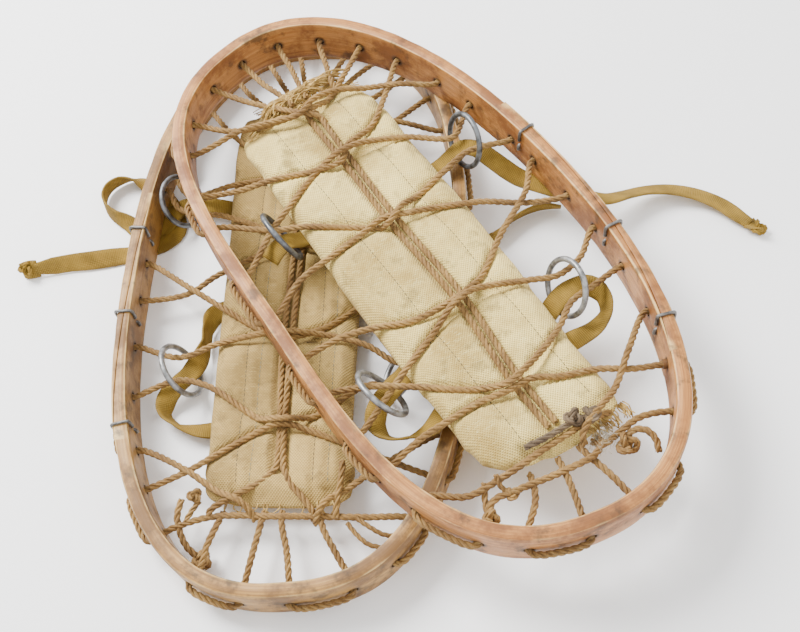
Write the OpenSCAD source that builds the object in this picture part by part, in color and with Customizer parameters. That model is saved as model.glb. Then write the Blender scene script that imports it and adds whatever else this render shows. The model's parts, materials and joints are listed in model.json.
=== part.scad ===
// A pair of bear-paw snowshoes, lying upside down, one across the other.
// Each shoe is a bent wooden strip laced with cord, with a canvas foot pad under the
// lacing, four loose steel rings threaded on the cords, and webbing straps to tie it on.
// All sizes are in millimetres. +Y runs along the lower shoe, +Z is up, the floor is z = 0.

/* [Rims] */
// Height of the wooden strip
rim_height = 40; // [36:1:44]
// Thickness of the wooden strip
rim_wall = 11; // [10:0.5:12]
// Lower shoe: half of its greatest width
lower_half_width = 139; // [137:1:141]
// Lower shoe: half of its length
lower_half_length = 264; // [262:1:266]
// Upper shoe: half of its greatest width
upper_half_width = 132; // [130:1:134]
// Upper shoe: half of its length
upper_half_length = 258; // [256:1:260]
// Diameter of the lacing holes
lace_hole_d = 7.5; // [7:0.25:9]

/* [Lacing] */
// Diameter of the laid cord
cord_d = 6; // [5:0.25:6.25]
// Diameter of the wire in the rim staples
staple_wire_d = 2.2; // [1.8:0.1:2.6]

/* [Foot pads] */
// Thickness of the quilted pad
pad_thickness = 12; // [10:0.5:12]
// Thickness of the canvas cover
canvas_t = 1.6; // [1.2:0.1:2]

/* [Rings] */
// Inside diameter of a steel ring
ring_inside_d = 38.5; // [37:0.5:39]
// Thickness of the ring's wire
ring_wire_d = 4.5; // [4:0.25:4.75]

/* [Straps] */
// Width of the webbing
strap_w = 16; // [14:1:17]
// Thickness of the webbing
strap_t = 2; // [1.6:0.2:2]

/* [How the pair lies] */
// Turn of the upper shoe from the lower one
upper_yaw = 34.7; // [34.5:0.1:35]
// Air gap between the two rims
rim_gap = 0.4; // [0.4:0.1:1]

/* [Hidden] */
RINGS = ["toe_left", "toe_right", "heel_left", "heel_right"];

lower_at = [-76, 0, 0];
upper_at = [24, 0, rim_height + rim_gap];

// Outline of a hand-bent rim: half width, half length, squareness, taper, bow, lean, fullness
LOWER = [lower_half_width, lower_half_length, 2.46, 0, 0.09, -0.04, 0.03];
UPPER = [upper_half_width, upper_half_length, 2.29, -0.02, -0.23, 0.13, 0.09];

// Where the lacing holes are round each rim, in degrees of the outline, from +X
LOWER_HOLES = [-2, 2, 10, 20, 31, 43, 56, 70, 84, 98, 112, 126, 140, 152, 164, 178,
  182, 189, 198, 209, 218, 230, 245, 260, 270, 284, 297, 309, 321, 331, 342, 351];
UPPER_HOLES = [1.5, 6, 15.5, 23.5, 34, 44.5, 57, 72, 86.5, 98, 115, 128, 144, 154, 168,
  178, 186, 194.5, 205, 215, 226, 243, 255, 269, 281, 295.5, 308.5, 320, 331.5, 341,
  349, 355.5];

// The lap joint of each strip: from its outer end to its inner end
LOWER_LAP = [208, 168];
UPPER_LAP = [9.5, -40];
LOWER_STAPLES = [174.5, 185.2, 205];
UPPER_STAPLES = [4, -14, -32.5];

hole_z = rim_height / 2;
pad_z = 9;
pad_top = pad_z + pad_thickness;
// Height of a cord that lies on the pad, and of one that crosses the centre cord
on_pad = pad_top + cord_d / 2 + 0.3;
over_cord = on_pad + cord_d + 0.2;
outline_step = 3;
seam_gap = 0.4;
cord_sides = 8;
staple_gap = 0.2;
// Legs of a staple on the outer and the inner face
staple_legs = [13, 24];
ring_r = (ring_inside_d + ring_wire_d) / 2;

// Colours
ash = [0.80, 0.58, 0.40];
ruddy_ash = [0.85, 0.58, 0.42];
sisal = [0.72, 0.58, 0.36];
canvas = [0.86, 0.80, 0.62];
steel = [0.55, 0.56, 0.57];
khaki = [0.66, 0.57, 0.33];

// ---- shapes by formula ----

function signed_pow(c, p) = sign(c) * pow(abs(c), p);
function unit(v) = v / norm(v);

// A point on the outer face of a rim, at height 0
function outline(q, t) =
  let (u = signed_pow(cos(t), 2 / q[2]), v = signed_pow(sin(t), 2 / q[2]))
  [q[0] * (u * (1 + q[3] * v + q[6] * v * v) + q[4] * v * v), q[1] * v * (1 + q[5] * u)];

// The same, moved into the strip by depth, at height z
function edge(q, t, depth, z) =
  let (along = unit(outline(q, t + 0.5) - outline(q, t - 0.5)), p = outline(q, t))
  [p.x - along.y * depth, p.y + along.x * depth, z];

function flat(p) = [p.x, p.y];

// Cuts the corners off a closed outline, times over
function soften(p, times) = times == 0 ? p : soften(
  [for (i = [0:len(p) - 1]) let (a = p[i], b = p[(i + 1) % len(p)])
    each [0.75 * a + 0.25 * b, 0.25 * a + 0.75 * b]], times - 1);

// Turns each corner of a route into an arc of radius r
function arc_corner(a, b, c, r) =
  let (u = unit(a - b), v = unit(c - b), bend = acos(max(-1, min(1, u * v))))
  bend > 150 ? [b] :
  let (back = r / tan(bend / 2), mid = unit(u + v), centre = b + mid * r / sin(bend / 2),
       p = b + u * back - centre, q = b + v * back - centre, sweep = 180 - bend)
  [for (k = [0:3]) centre + (sin(sweep * (1 - k / 3)) * p + sin(sweep * k / 3) * q) / sin(sweep)];

function round_route(p, r) = concat([p[0]],
  [for (i = [1:len(p) - 2]) each arc_corner(p[i - 1], p[i], p[i + 1], r)], [p[len(p) - 1]]);

function side_of(d) = abs(d.z) > 0.9 ? unit(cross(d, [1, 0, 0])) : unit(cross(d, [0, 0, 1]));
function way(p, i) = unit(p[min(i + 1, len(p) - 1)] - p[max(i - 1, 0)]);

// Faces of a tube of m rings with n corners each
function tube_faces(m, n) = concat(
  [[for (k = [0:n - 1]) k]],
  [for (i = [0:m - 2]) for (k = [0:n - 1]) each
    [[i * n + k, (i + 1) * n + k, (i + 1) * n + (k + 1) % n],
     [i * n + k, (i + 1) * n + (k + 1) % n, i * n + (k + 1) % n]]],
  [[for (k = [n - 1:-1:0]) (m - 1) * n + k]]);

// A round cord along a route
module cord(p, d = cord_d, n = cord_sides) {
  corners = [for (i = [0:len(p) - 1]) let (w = way(p, i), s = side_of(w))
    for (k = [0:n - 1]) p[i] + d / 2 * (cos(360 * k / n) * s + sin(360 * k / n) * cross(w, s))];
  polyhedron(corners, tube_faces(len(p), n), convexity = 6);
}

// Flat webbing along a route of [x, y, z, roll]; roll 0 lies flat and 90 stands on edge
module webbing(route) {
  p = [for (r = route) [r.x, r.y, r.z]];
  corners = [for (i = [0:len(p) - 1])
    let (w = way(p, i), s = side_of(w), up = cross(s, w), a = route[i][3],
         across = cos(a) * s + sin(a) * up, out = cos(a) * up - sin(a) * s)
    for (c = [[-1, -1], [-1, 1], [1, 1], [1, -1]])
      p[i] + c.x * strap_w / 2 * across + c.y * strap_t / 2 * out];
  polyhedron(corners, tube_faces(len(p), 4), convexity = 6);
}

// A stopper knot: a ball with a short collar
module knot(d) {
  sphere(d = d, $fn = 24);
  rotate([90, 0, 35]) cylinder(h = d * 1.2, d = d * 0.6, center = true, $fn = 24);
}

module place_lower() { translate(lower_at) children(); }
module place_upper() { translate(upper_at) rotate([0, 0, upper_yaw]) children(); }

// ---- parts that both shoes have ----

// The bent strip: a closed hoop, cut along its lap joint and drilled for the lacing
module rim(q, holes, lap) {
  turn = [for (t = [0:outline_step:360 - outline_step]) t];
  seam = [for (t = [lap[0]:sign(lap[1] - lap[0]) * 4:lap[1]]) t];
  function seam_depth(t) = rim_wall * (t - lap[0]) / (lap[1] - lap[0]);
  difference() {
    linear_extrude(rim_height) difference() {
      polygon([for (t = turn) flat(edge(q, t, 0, 0))]);
      polygon([for (t = turn) flat(edge(q, t, rim_wall, 0))]);
    }
    translate([0, 0, -1]) linear_extrude(rim_height + 2) polygon(concat(
      [flat(edge(q, lap[0] - sign(lap[1] - lap[0]) * 2, -1, 0))],
      [for (t = seam) flat(edge(q, t, seam_depth(t) - seam_gap / 2, 0))],
      [flat(edge(q, lap[1] + sign(lap[1] - lap[0]) * 2, rim_wall + 1, 0))],
      [for (k = [len(seam) - 1:-1:0])
        flat(edge(q, seam[k], seam_depth(seam[k]) + seam_gap / 2, 0))]));
    for (t = holes) {
      a = edge(q, t, -2, hole_z);
      b = edge(q, t, rim_wall + 2, hole_z);
      translate(a) rotate([90, 0, atan2(b.y - a.y, b.x - a.x) + 90])
        cylinder(h = norm(b - a), d = lace_hole_d, $fn = 32);
    }
  }
}

// Wire staples that straddle the strip and hold the lap
module staples(q, at) {
  w = staple_wire_d;
  top = rim_height + staple_gap;
  for (t = at) {
    a = edge(q, t, -staple_gap, 0);
    b = edge(q, t, rim_wall + staple_gap, 0);
    span = norm(b - a);
    translate(a) rotate([90, 0, atan2(b.y - a.y, b.x - a.x)]) linear_extrude(w, center = true)
      polygon([[-w, top - staple_legs[0]], [-w, top + w], [span + w, top + w],
        [span + w, top - staple_legs[1]], [span, top - staple_legs[1]], [span, top], [0, top],
        [0, top - staple_legs[0]]]);
  }
}

// The cord goes out at one hole, along the outside of the strip and in at the next
module rim_lacing(q, holes) {
  outside = -cord_d / 2 - 0.3;
  inside = rim_wall + 0.8;
  for (i = [0:2:len(holes) - 2]) {
    a = holes[i];
    b = holes[i + 1];
    cord(round_route(concat(
      [edge(q, a, inside, hole_z)],
      [for (k = [0:3]) edge(q, a + (b - a) * k / 3, outside, hole_z)],
      [edge(q, b, inside, hole_z)]), cord_d * 0.57));
  }
}

// Cords that start at a hole and follow their own points
module net(q, routes) {
  for (r = routes) cord(concat([edge(q, r[0], rim_wall + 1, hole_z)], r[1]));
}

// The centre cord is laid double along the pad
module centre_cord(p) {
  for (s = [-1, 1]) cord([for (v = p) v + [s * cord_d * 0.53, 0, 0]]);
}

function inset(p, d, mid) = [for (v = p) [v.x - sign(v.x - mid) * d, v.y - sign(v.y) * d]];

// A stack of slabs with its rims stepped in, so the edge of the pad is eased
module eased_slab(p, mid, z, h, ease) {
  translate([0, 0, z]) linear_extrude(h) polygon(soften(inset(p, ease, mid), 2));
  translate([0, 0, z + ease / 2]) linear_extrude(h - ease) polygon(soften(p, 2));
}

module pad_cover(p, mid) {
  difference() {
    eased_slab(p, mid, pad_z, pad_thickness, 3);
    eased_slab(inset(p, canvas_t + 1, mid), mid, pad_z + canvas_t, pad_thickness - 2 * canvas_t, 3);
  }
}

module pad_filling(p, mid) {
  eased_slab(inset(p, canvas_t + 1.3, mid), mid, pad_z + canvas_t + 0.2,
    pad_thickness - 2 * canvas_t - 0.4, 3);
}

// A ring of round wire: place, heading of its level diameter, and tilt about it
module ring(at) {
  translate([at[0], at[1], at[2]]) rotate([0, 0, at[3]]) rotate([at[4], 0, 0])
    rotate_extrude($fn = 64) translate([ring_r, 0]) circle(d = ring_wire_d, $fn = 24);
}

// ---- the lower shoe's own places ----

LOWER_PAD = [[-56, 176], [-64, 150], [-66, 117], [-65, -5], [-62, -130], [-58, -176], [-50, -193],
  [0, -196], [46, -193], [55, -176], [53, -110], [57, 0], [59, 110], [57, 150], [50, 174], [0, 186]];
LOWER_MID = -4;
LOWER_RING_AT = [[-105, 80, 21, 80, 55], [90, 75, 21, 95, -52],
  [-85, -83, 22.5, 108, 62], [86, -88, 21, 78, -52]];
LOWER_LEFT = [
  [140, [[-66, 146, on_pad], [-24, 112, on_pad], [-5, 103, over_cord]]],
  [152, [[-107, 128, 20.2], [-112, 104, 20.5], [-100, 86, 21], [-62, 92, on_pad], [-5, 96, over_cord]]],
  [164, [[-109, 75, 19], [-64, 60, on_pad], [-5, 33, over_cord]]],
  [178, [[-87, -10, 26.5], [-62, -26, on_pad], [-25, -50, on_pad], [-8, -60, over_cord]]],
  [182, [[-87, -11, 19.5], [-68, 0, on_pad], [-5, 26, over_cord]]],
  [189, [[-86, -71, 21.5], [-60, -62, on_pad], [-8, -57, over_cord]]],
  [198, [[-85, -91, 21.5], [-64, -97, on_pad], [-19, -126, on_pad], [-6, -130, over_cord]]],
  [218, [[-66, -165, on_pad], [-50, -155, on_pad], [-18, -136, on_pad], [-6, -133, over_cord]]]
];
LOWER_RIGHT = [
  [43, [[66, 146, on_pad], [24, 112, on_pad], [5, 103, over_cord]]],
  [20, [[104, 84, 20.5], [88, 82, 21], [60, 90, on_pad], [5, 96, over_cord]]],
  [10, [[90, 68, 19], [60, 55, on_pad], [5, 33, over_cord]]],
  [2, [[87, -10, 26.5], [60, -26, on_pad], [25, -50, on_pad], [2, -60, over_cord]]],
  [-2, [[87, -11, 19.5], [64, 0, on_pad], [5, 26, over_cord]]],
  [351, [[104, -77, 20.5], [86, -80, 21], [60, -66, on_pad], [2, -57, over_cord]]],
  [342, [[86, -95, 19], [62, -100, on_pad], [19, -126, on_pad], [4, -130, over_cord]]],
  [321, [[74, -158, 22], [54, -150, on_pad], [18, -136, on_pad], [4, -133, over_cord]]]
];
LOWER_TOE_SPOKES = [[70, [[34, 206, 21], [26, 188, on_pad]]], [84, [[18, 214, 21], [11, 190, on_pad]]],
  [98, [[-9, 216, 21], [-4, 190, on_pad]]], [112, [[-30, 210, 21], [-19, 187, on_pad]]]];
LOWER_HEEL_SPOKES = [[260, [[-16, -226, 20], [-12, -205, 20]]], [270, [[8, -226, 20], [3, -206, 20]]],
  [284, [[42, -226, 20], [32, -207, 20]]], [245, [[-50, -222, 20], [-44, -206, 20]]]];
LOWER_TOE_ENDS = [[56, [[62, 187, 24], [30, 168, on_pad + 0.3], [8, 160, over_cord]]],
  [31, [[80, 152, 27], [50, 158, on_pad], [8, 156, over_cord]]],
  [126, [[-56, 193, 24], [-30, 170, on_pad + 0.3], [-8, 160, over_cord]]]];
LOWER_HEEL_ENDS = [[230, [[-56, -202, 20], [2, -201, 21], [60, -202, 20], [92, -201, 20]]],
  [209, [[-67, -169, 27], [-47, -182, on_pad], [-27, -192, over_cord]]],
  [331, [[70, -169, 27], [47, -184, on_pad], [34, -194, over_cord]]]];
LOWER_CENTRE = [[0, 165, on_pad], [0, 30, on_pad], [-3, -62, on_pad], [-1, -166, on_pad]];
LOWER_TOE_STRAP = [
  [-20, 80, 4, 0], [-60, 80, 5, 0], [-80, 80, 12, 0], [-98, 80, 14.5, 0], [-107, 79, 13, 0],
  [-116, 74, 7, 0], [-124, 66, 2.4, 0], [-134, 60, 1.3, 0], [-145, 62, 4.6, 25], [-156, 69, 7.8, 55],
  [-166, 74, 9.4, 75], [-175, 82, 9.8, 82], [-180, 93, 10, 85], [-178, 105, 10, 82],
  [-169, 113, 9.6, 75], [-157, 115, 8.2, 55], [-146, 111, 4.8, 20], [-137, 105, 1.8, 0],
  [-126, 95, 2, 0], [-116, 78, 2.2, 0], [-113, 60, 2, 0], [-122, 50, 1.5, 0], [-135, 45, 1.3, 0],
  [-150, 40, 1.3, 0], [-165, 36, 4, 20], [-182, 32, 6.4, 40], [-200, 29, 8, 58],
  [-217, 26, 8.2, 62], [-229, 24, 8.4, 62]];
LOWER_HEEL_STRAP = [
  [-24, -12, 5, 0], [-50, -15, 5, 0], [-60, -19, 5.4, 0], [-69, -27, 8, 35], [-72, -40, 9.8, 75],
  [-72, -54, 10, 80], [-75, -69, 12, 45], [-81, -82, 14, 0], [-90, -92, 14, 0], [-97, -102, 12, 25],
  [-98, -114, 10, 65], [-88, -123, 10, 72], [-73, -127, 7.6, 38], [-50, -126, 5, 0], [-24, -124, 5, 0]];
LOWER_KNOT_AT = [-237, 23, 8];
LOWER_TAIL = [[-72, -188, 22], [-74, -200, 21], [-71, -212, 18], [-66, -221, 14], [-60, -226, 10]];
LOWER_TAIL_KNOT_AT = [-55, -229, 8.2];

// ---- the upper shoe's own places ----

UPPER_PAD = [[-54, 182], [-63, 160], [-66, 128], [-69, 55], [-70, -29], [-70, -92], [-68, -150], [-60, -182],
  [-30, -197], [0, -203], [36, -198], [43, -184], [46, -165], [52, -99], [57, -28], [58, 26], [59, 101],
  [58, 140], [50, 168], [0, 190]];
UPPER_MID = -6;
UPPER_RING_AT = [[-80, 70, 22, 90, 70], [87, 59, 24.2, 85, -72],
  [-90, -90, 22, 95, 58], [68, -98, 22, 82, -65]];
UPPER_LEFT = [
  [144, [[-84, 129, 22], [-60, 121, on_pad], [-22, 106, on_pad], [-4, 99, over_cord]]],
  [168, [[-82, 81, 21.5], [-68, 86, on_pad], [-21, 107, on_pad], [-5, 104, over_cord]]],
  [154, [[-80, 76, 24], [-62, 66, on_pad], [-12, 28, on_pad], [-6, 24, over_cord]]],
  [178, [[-89, 26, 23], [-60, 29, on_pad], [-31, 32, on_pad], [-8, 31, over_cord]]],
  [186, [[-90, -34, 22], [-64, -44, on_pad], [-43, -54, on_pad], [-6, -61, over_cord]]],
  [205, [[-90, -94, 20], [-68, -86, on_pad], [-32, -72, on_pad], [-8, -65, over_cord]]],
  [194.5, [[-90, -84, 24], [-68, -101, on_pad], [-32, -129, on_pad], [-15, -140, over_cord]]],
  [215, [[-88, -135, 22], [-63, -136, on_pad], [-39, -137, on_pad], [-16, -144, over_cord]]]
];
UPPER_RIGHT = [
  [34, [[61, 138, on_pad], [35, 118, on_pad], [5, 108, over_cord]]],
  [15.5, [[97, 77, 23], [83, 67, 25], [50, 92, on_pad], [8, 103, over_cord]]],
  [6, [[98, 46, 22], [84, 49, 23], [58, 44, on_pad], [24, 36, on_pad], [6, 30, over_cord]]],
  [1.5, [[95, -12, 26], [60, -30, on_pad], [20, -55, on_pad], [5, -60, over_cord]]],
  [355.5, [[94, -19, 19.5], [62, 2, on_pad], [36, 16, on_pad], [6, 25, over_cord]]],
  [349, [[92, -83, 21], [68, -86, 23], [50, -78, on_pad], [5, -64, over_cord]]],
  [341, [[84, -108, 21], [64, -110, 23], [43, -122, on_pad], [0, -138, over_cord]]],
  [320, [[66, -178, 20], [44, -165, on_pad], [19, -154, on_pad], [-2, -145, over_cord]]]
];
UPPER_TOE_SPOKES = [[57, [[41, 200, 21], [33, 176, on_pad]]], [72, [[15, 216, 21], [10, 192, on_pad]]],
  [86.5, [[-13, 217, 21], [-8, 191, on_pad]]]];
UPPER_HEEL_SPOKES = [[255, [[-48, -214, 19], [-42, -203, 18]]], [269, [[-25, -226, 19], [-20, -209, 18]]],
  [281, [[3, -230, 19], [0, -211, 18]]]];
UPPER_TOE_ENDS = [[98, [[-37, 213, 21], [-19, 184, on_pad], [-8, 164, over_cord]]],
  [115, [[-61, 187, 23], [-45, 176, on_pad + 0.4], [-12, 162, over_cord]]],
  [128, [[-78, 179, 27], [-60, 177, 30], [-30, 166, over_cord], [-8, 158, over_cord]]],
  [44.5, [[46, 180, 23], [20, 164, on_pad], [8, 160, over_cord]]],
  [23.5, [[77, 140, 27], [53, 156, on_pad], [28, 164, over_cord + 1], [8, 166, over_cord + 1]]]];
UPPER_HEEL_ENDS = [[226, [[-84, -188, 22], [-60, -191, on_pad], [-19, -191, on_pad], [22, -193, on_pad]]],
  [243, [[-72, -200, 21], [-55, -203, 21], [-22, -210, 21], [4, -213, 22]]],
  [331.5, [[70, -166, 27], [42, -184, on_pad], [26, -190, over_cord], [10, -195, over_cord]]],
  [308.5, [[45, -209, 20], [23, -210, 20], [12, -212, 20]]]];
UPPER_CENTRE = [[2, 160, on_pad], [0, 100, on_pad], [-2, 28, on_pad], [-1, -60, on_pad],
  [-8, -142, on_pad], [-8, -180, on_pad]];
UPPER_TOE_STRAP = [
  [-97, 64, 10, 0], [-88, 67, 14, 0], [-78, 69, 13.5, 0], [-66, 69, 6, 0], [-20, 66, 4.5, 0],
  [40, 62, 4.5, 0], [62, 60, 7, 0], [76, 59, 14, 0], [85, 59, 16.5, 0], [93, 52, 16, 0],
  [99, 40, 11, -10], [105, 28, 4.5, -15], [111, 18, -1, -10], [118, 8, -3.2, 0],
  [126, -4, -3.8, 0], [134, -15, -5.5, 0], [148, -27, -10, 10],
  [162, -34, -16, 20], [180, -37, -22, 30], [198, -41, -27, 30], [216, -51, -30, 25],
  [232, -67, -33, 20], [242, -86, -35, 15], [246, -104, -36, 15], [248, -113, -36, 15]];
UPPER_HEEL_STRAP = [
  [-30, -62, 4.5, 0], [-52, -74, 4.8, 0], [-67, -81, 7, 0], [-76, -85, 12, 0], [-85, -89, 15, 0],
  [-97, -94, 14.6, 0], [-105, -103, 12.6, 25], [-104, -115, 10, 62], [-92, -124, 9.6, 70],
  [-78, -127, 7.4, 36], [-58, -121, 4.8, 0], [-20, -110, 4.5, 0], [30, -104, 4.5, 0], [48, -101, 5.4, 0],
  [57, -99, 11, 0], [65, -98, 15, 0], [76, -98, 14.6, 0], [87, -102, 11.6, -30],
  [91, -113, 9.2, -60], [86, -124, 8.4, -60], [73, -130, 6.4, -30], [52, -129, 4.6, 0],
  [20, -124, 4.5, 0]];
UPPER_KNOT_AT = [249, -121, -32];
UPPER_TAIL = [[39, -236, 20], [43, -228, 21], [42, -219, 21], [36, -214, 20], [27, -216, 18.5],
  [18, -220, 17.5]];
UPPER_TAIL_KNOT_AT = [26, -219, 17];

// ---- the lower shoe ----

module lower_rim() { color(ash) place_lower() rim(LOWER, LOWER_HOLES, LOWER_LAP); }
module lower_rim_staples() { color(steel) place_lower() staples(LOWER, LOWER_STAPLES); }
module lower_rim_lacing() { color(sisal) place_lower() rim_lacing(LOWER, LOWER_HOLES); }
module lower_left_lacing() { color(sisal) place_lower() net(LOWER, LOWER_LEFT); }
module lower_right_lacing() { color(sisal) place_lower() net(LOWER, LOWER_RIGHT); }
module lower_toe_spokes() { color(sisal) place_lower() net(LOWER, LOWER_TOE_SPOKES); }
module lower_heel_spokes() { color(sisal) place_lower() net(LOWER, LOWER_HEEL_SPOKES); }
module lower_toe_end_cords() { color(sisal) place_lower() net(LOWER, LOWER_TOE_ENDS); }
module lower_heel_end_cords() { color(sisal) place_lower() net(LOWER, LOWER_HEEL_ENDS); }
module lower_centre_cord() { color(sisal) place_lower() centre_cord(LOWER_CENTRE); }
module lower_pad_cover() { color(canvas) place_lower() pad_cover(LOWER_PAD, LOWER_MID); }
module lower_pad_filling() { color(canvas) place_lower() pad_filling(LOWER_PAD, LOWER_MID); }
module lower_ring(i) { color(steel) place_lower() ring(LOWER_RING_AT[i]); }
module lower_toe_strap() { color(khaki) place_lower() webbing(LOWER_TOE_STRAP); }
module lower_heel_strap() { color(khaki) place_lower() webbing(LOWER_HEEL_STRAP); }
module lower_strap_knot() { color(khaki) place_lower() translate(LOWER_KNOT_AT) knot(15); }
module lower_heel_tail() { color(sisal) place_lower() cord(LOWER_TAIL); }
module lower_heel_tail_knot() { color(sisal) place_lower() translate(LOWER_TAIL_KNOT_AT) knot(14); }

// ---- the upper shoe ----

module upper_rim() { color(ruddy_ash) place_upper() rim(UPPER, UPPER_HOLES, UPPER_LAP); }
module upper_rim_staples() { color(steel) place_upper() staples(UPPER, UPPER_STAPLES); }
module upper_rim_lacing() { color(sisal) place_upper() rim_lacing(UPPER, UPPER_HOLES); }
module upper_left_lacing() { color(sisal) place_upper() net(UPPER, UPPER_LEFT); }
module upper_right_lacing() { color(sisal) place_upper() net(UPPER, UPPER_RIGHT); }
module upper_toe_spokes() { color(sisal) place_upper() net(UPPER, UPPER_TOE_SPOKES); }
module upper_heel_spokes() { color(sisal) place_upper() net(UPPER, UPPER_HEEL_SPOKES); }
module upper_toe_end_cords() { color(sisal) place_upper() net(UPPER, UPPER_TOE_ENDS); }
module upper_heel_end_cords() { color(sisal) place_upper() net(UPPER, UPPER_HEEL_ENDS); }
module upper_centre_cord() { color(sisal) place_upper() centre_cord(UPPER_CENTRE); }
module upper_pad_cover() { color(canvas) place_upper() pad_cover(UPPER_PAD, UPPER_MID); }
module upper_pad_filling() { color(canvas) place_upper() pad_filling(UPPER_PAD, UPPER_MID); }
module upper_ring(i) { color(steel) place_upper() ring(UPPER_RING_AT[i]); }
module upper_toe_strap() { color(khaki) place_upper() webbing(UPPER_TOE_STRAP); }
module upper_heel_strap() { color(khaki) place_upper() webbing(UPPER_HEEL_STRAP); }
module upper_strap_knot() { color(khaki) place_upper() translate(UPPER_KNOT_AT) knot(15); }
module upper_heel_tail() { color(sisal) place_upper() cord(UPPER_TAIL); }
module upper_heel_tail_knot() { color(sisal) place_upper() translate(UPPER_TAIL_KNOT_AT) knot(18); }

lower_rim();
lower_rim_staples();
lower_rim_lacing();
lower_left_lacing();
lower_right_lacing();
lower_toe_spokes();
lower_heel_spokes();
lower_toe_end_cords();
lower_heel_end_cords();
lower_centre_cord();
lower_pad_cover();
lower_pad_filling();
lower_ring(0);  // lower_ring_toe_left
lower_ring(1);  // lower_ring_toe_right
lower_ring(2);  // lower_ring_heel_left
lower_ring(3);  // lower_ring_heel_right
lower_toe_strap();
lower_heel_strap();
lower_strap_knot();
lower_heel_tail();
lower_heel_tail_knot();
upper_rim();
upper_rim_staples();
upper_rim_lacing();
upper_left_lacing();
upper_right_lacing();
upper_toe_spokes();
upper_heel_spokes();
upper_toe_end_cords();
upper_heel_end_cords();
upper_centre_cord();
upper_pad_cover();
upper_pad_filling();
upper_ring(0);  // upper_ring_toe_left
upper_ring(1);  // upper_ring_toe_right
upper_ring(2);  // upper_ring_heel_left
upper_ring(3);  // upper_ring_heel_right
upper_toe_strap();
upper_heel_strap();
upper_strap_knot();
upper_heel_tail();
upper_heel_tail_knot();
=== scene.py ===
import json
import math
import random

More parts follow.
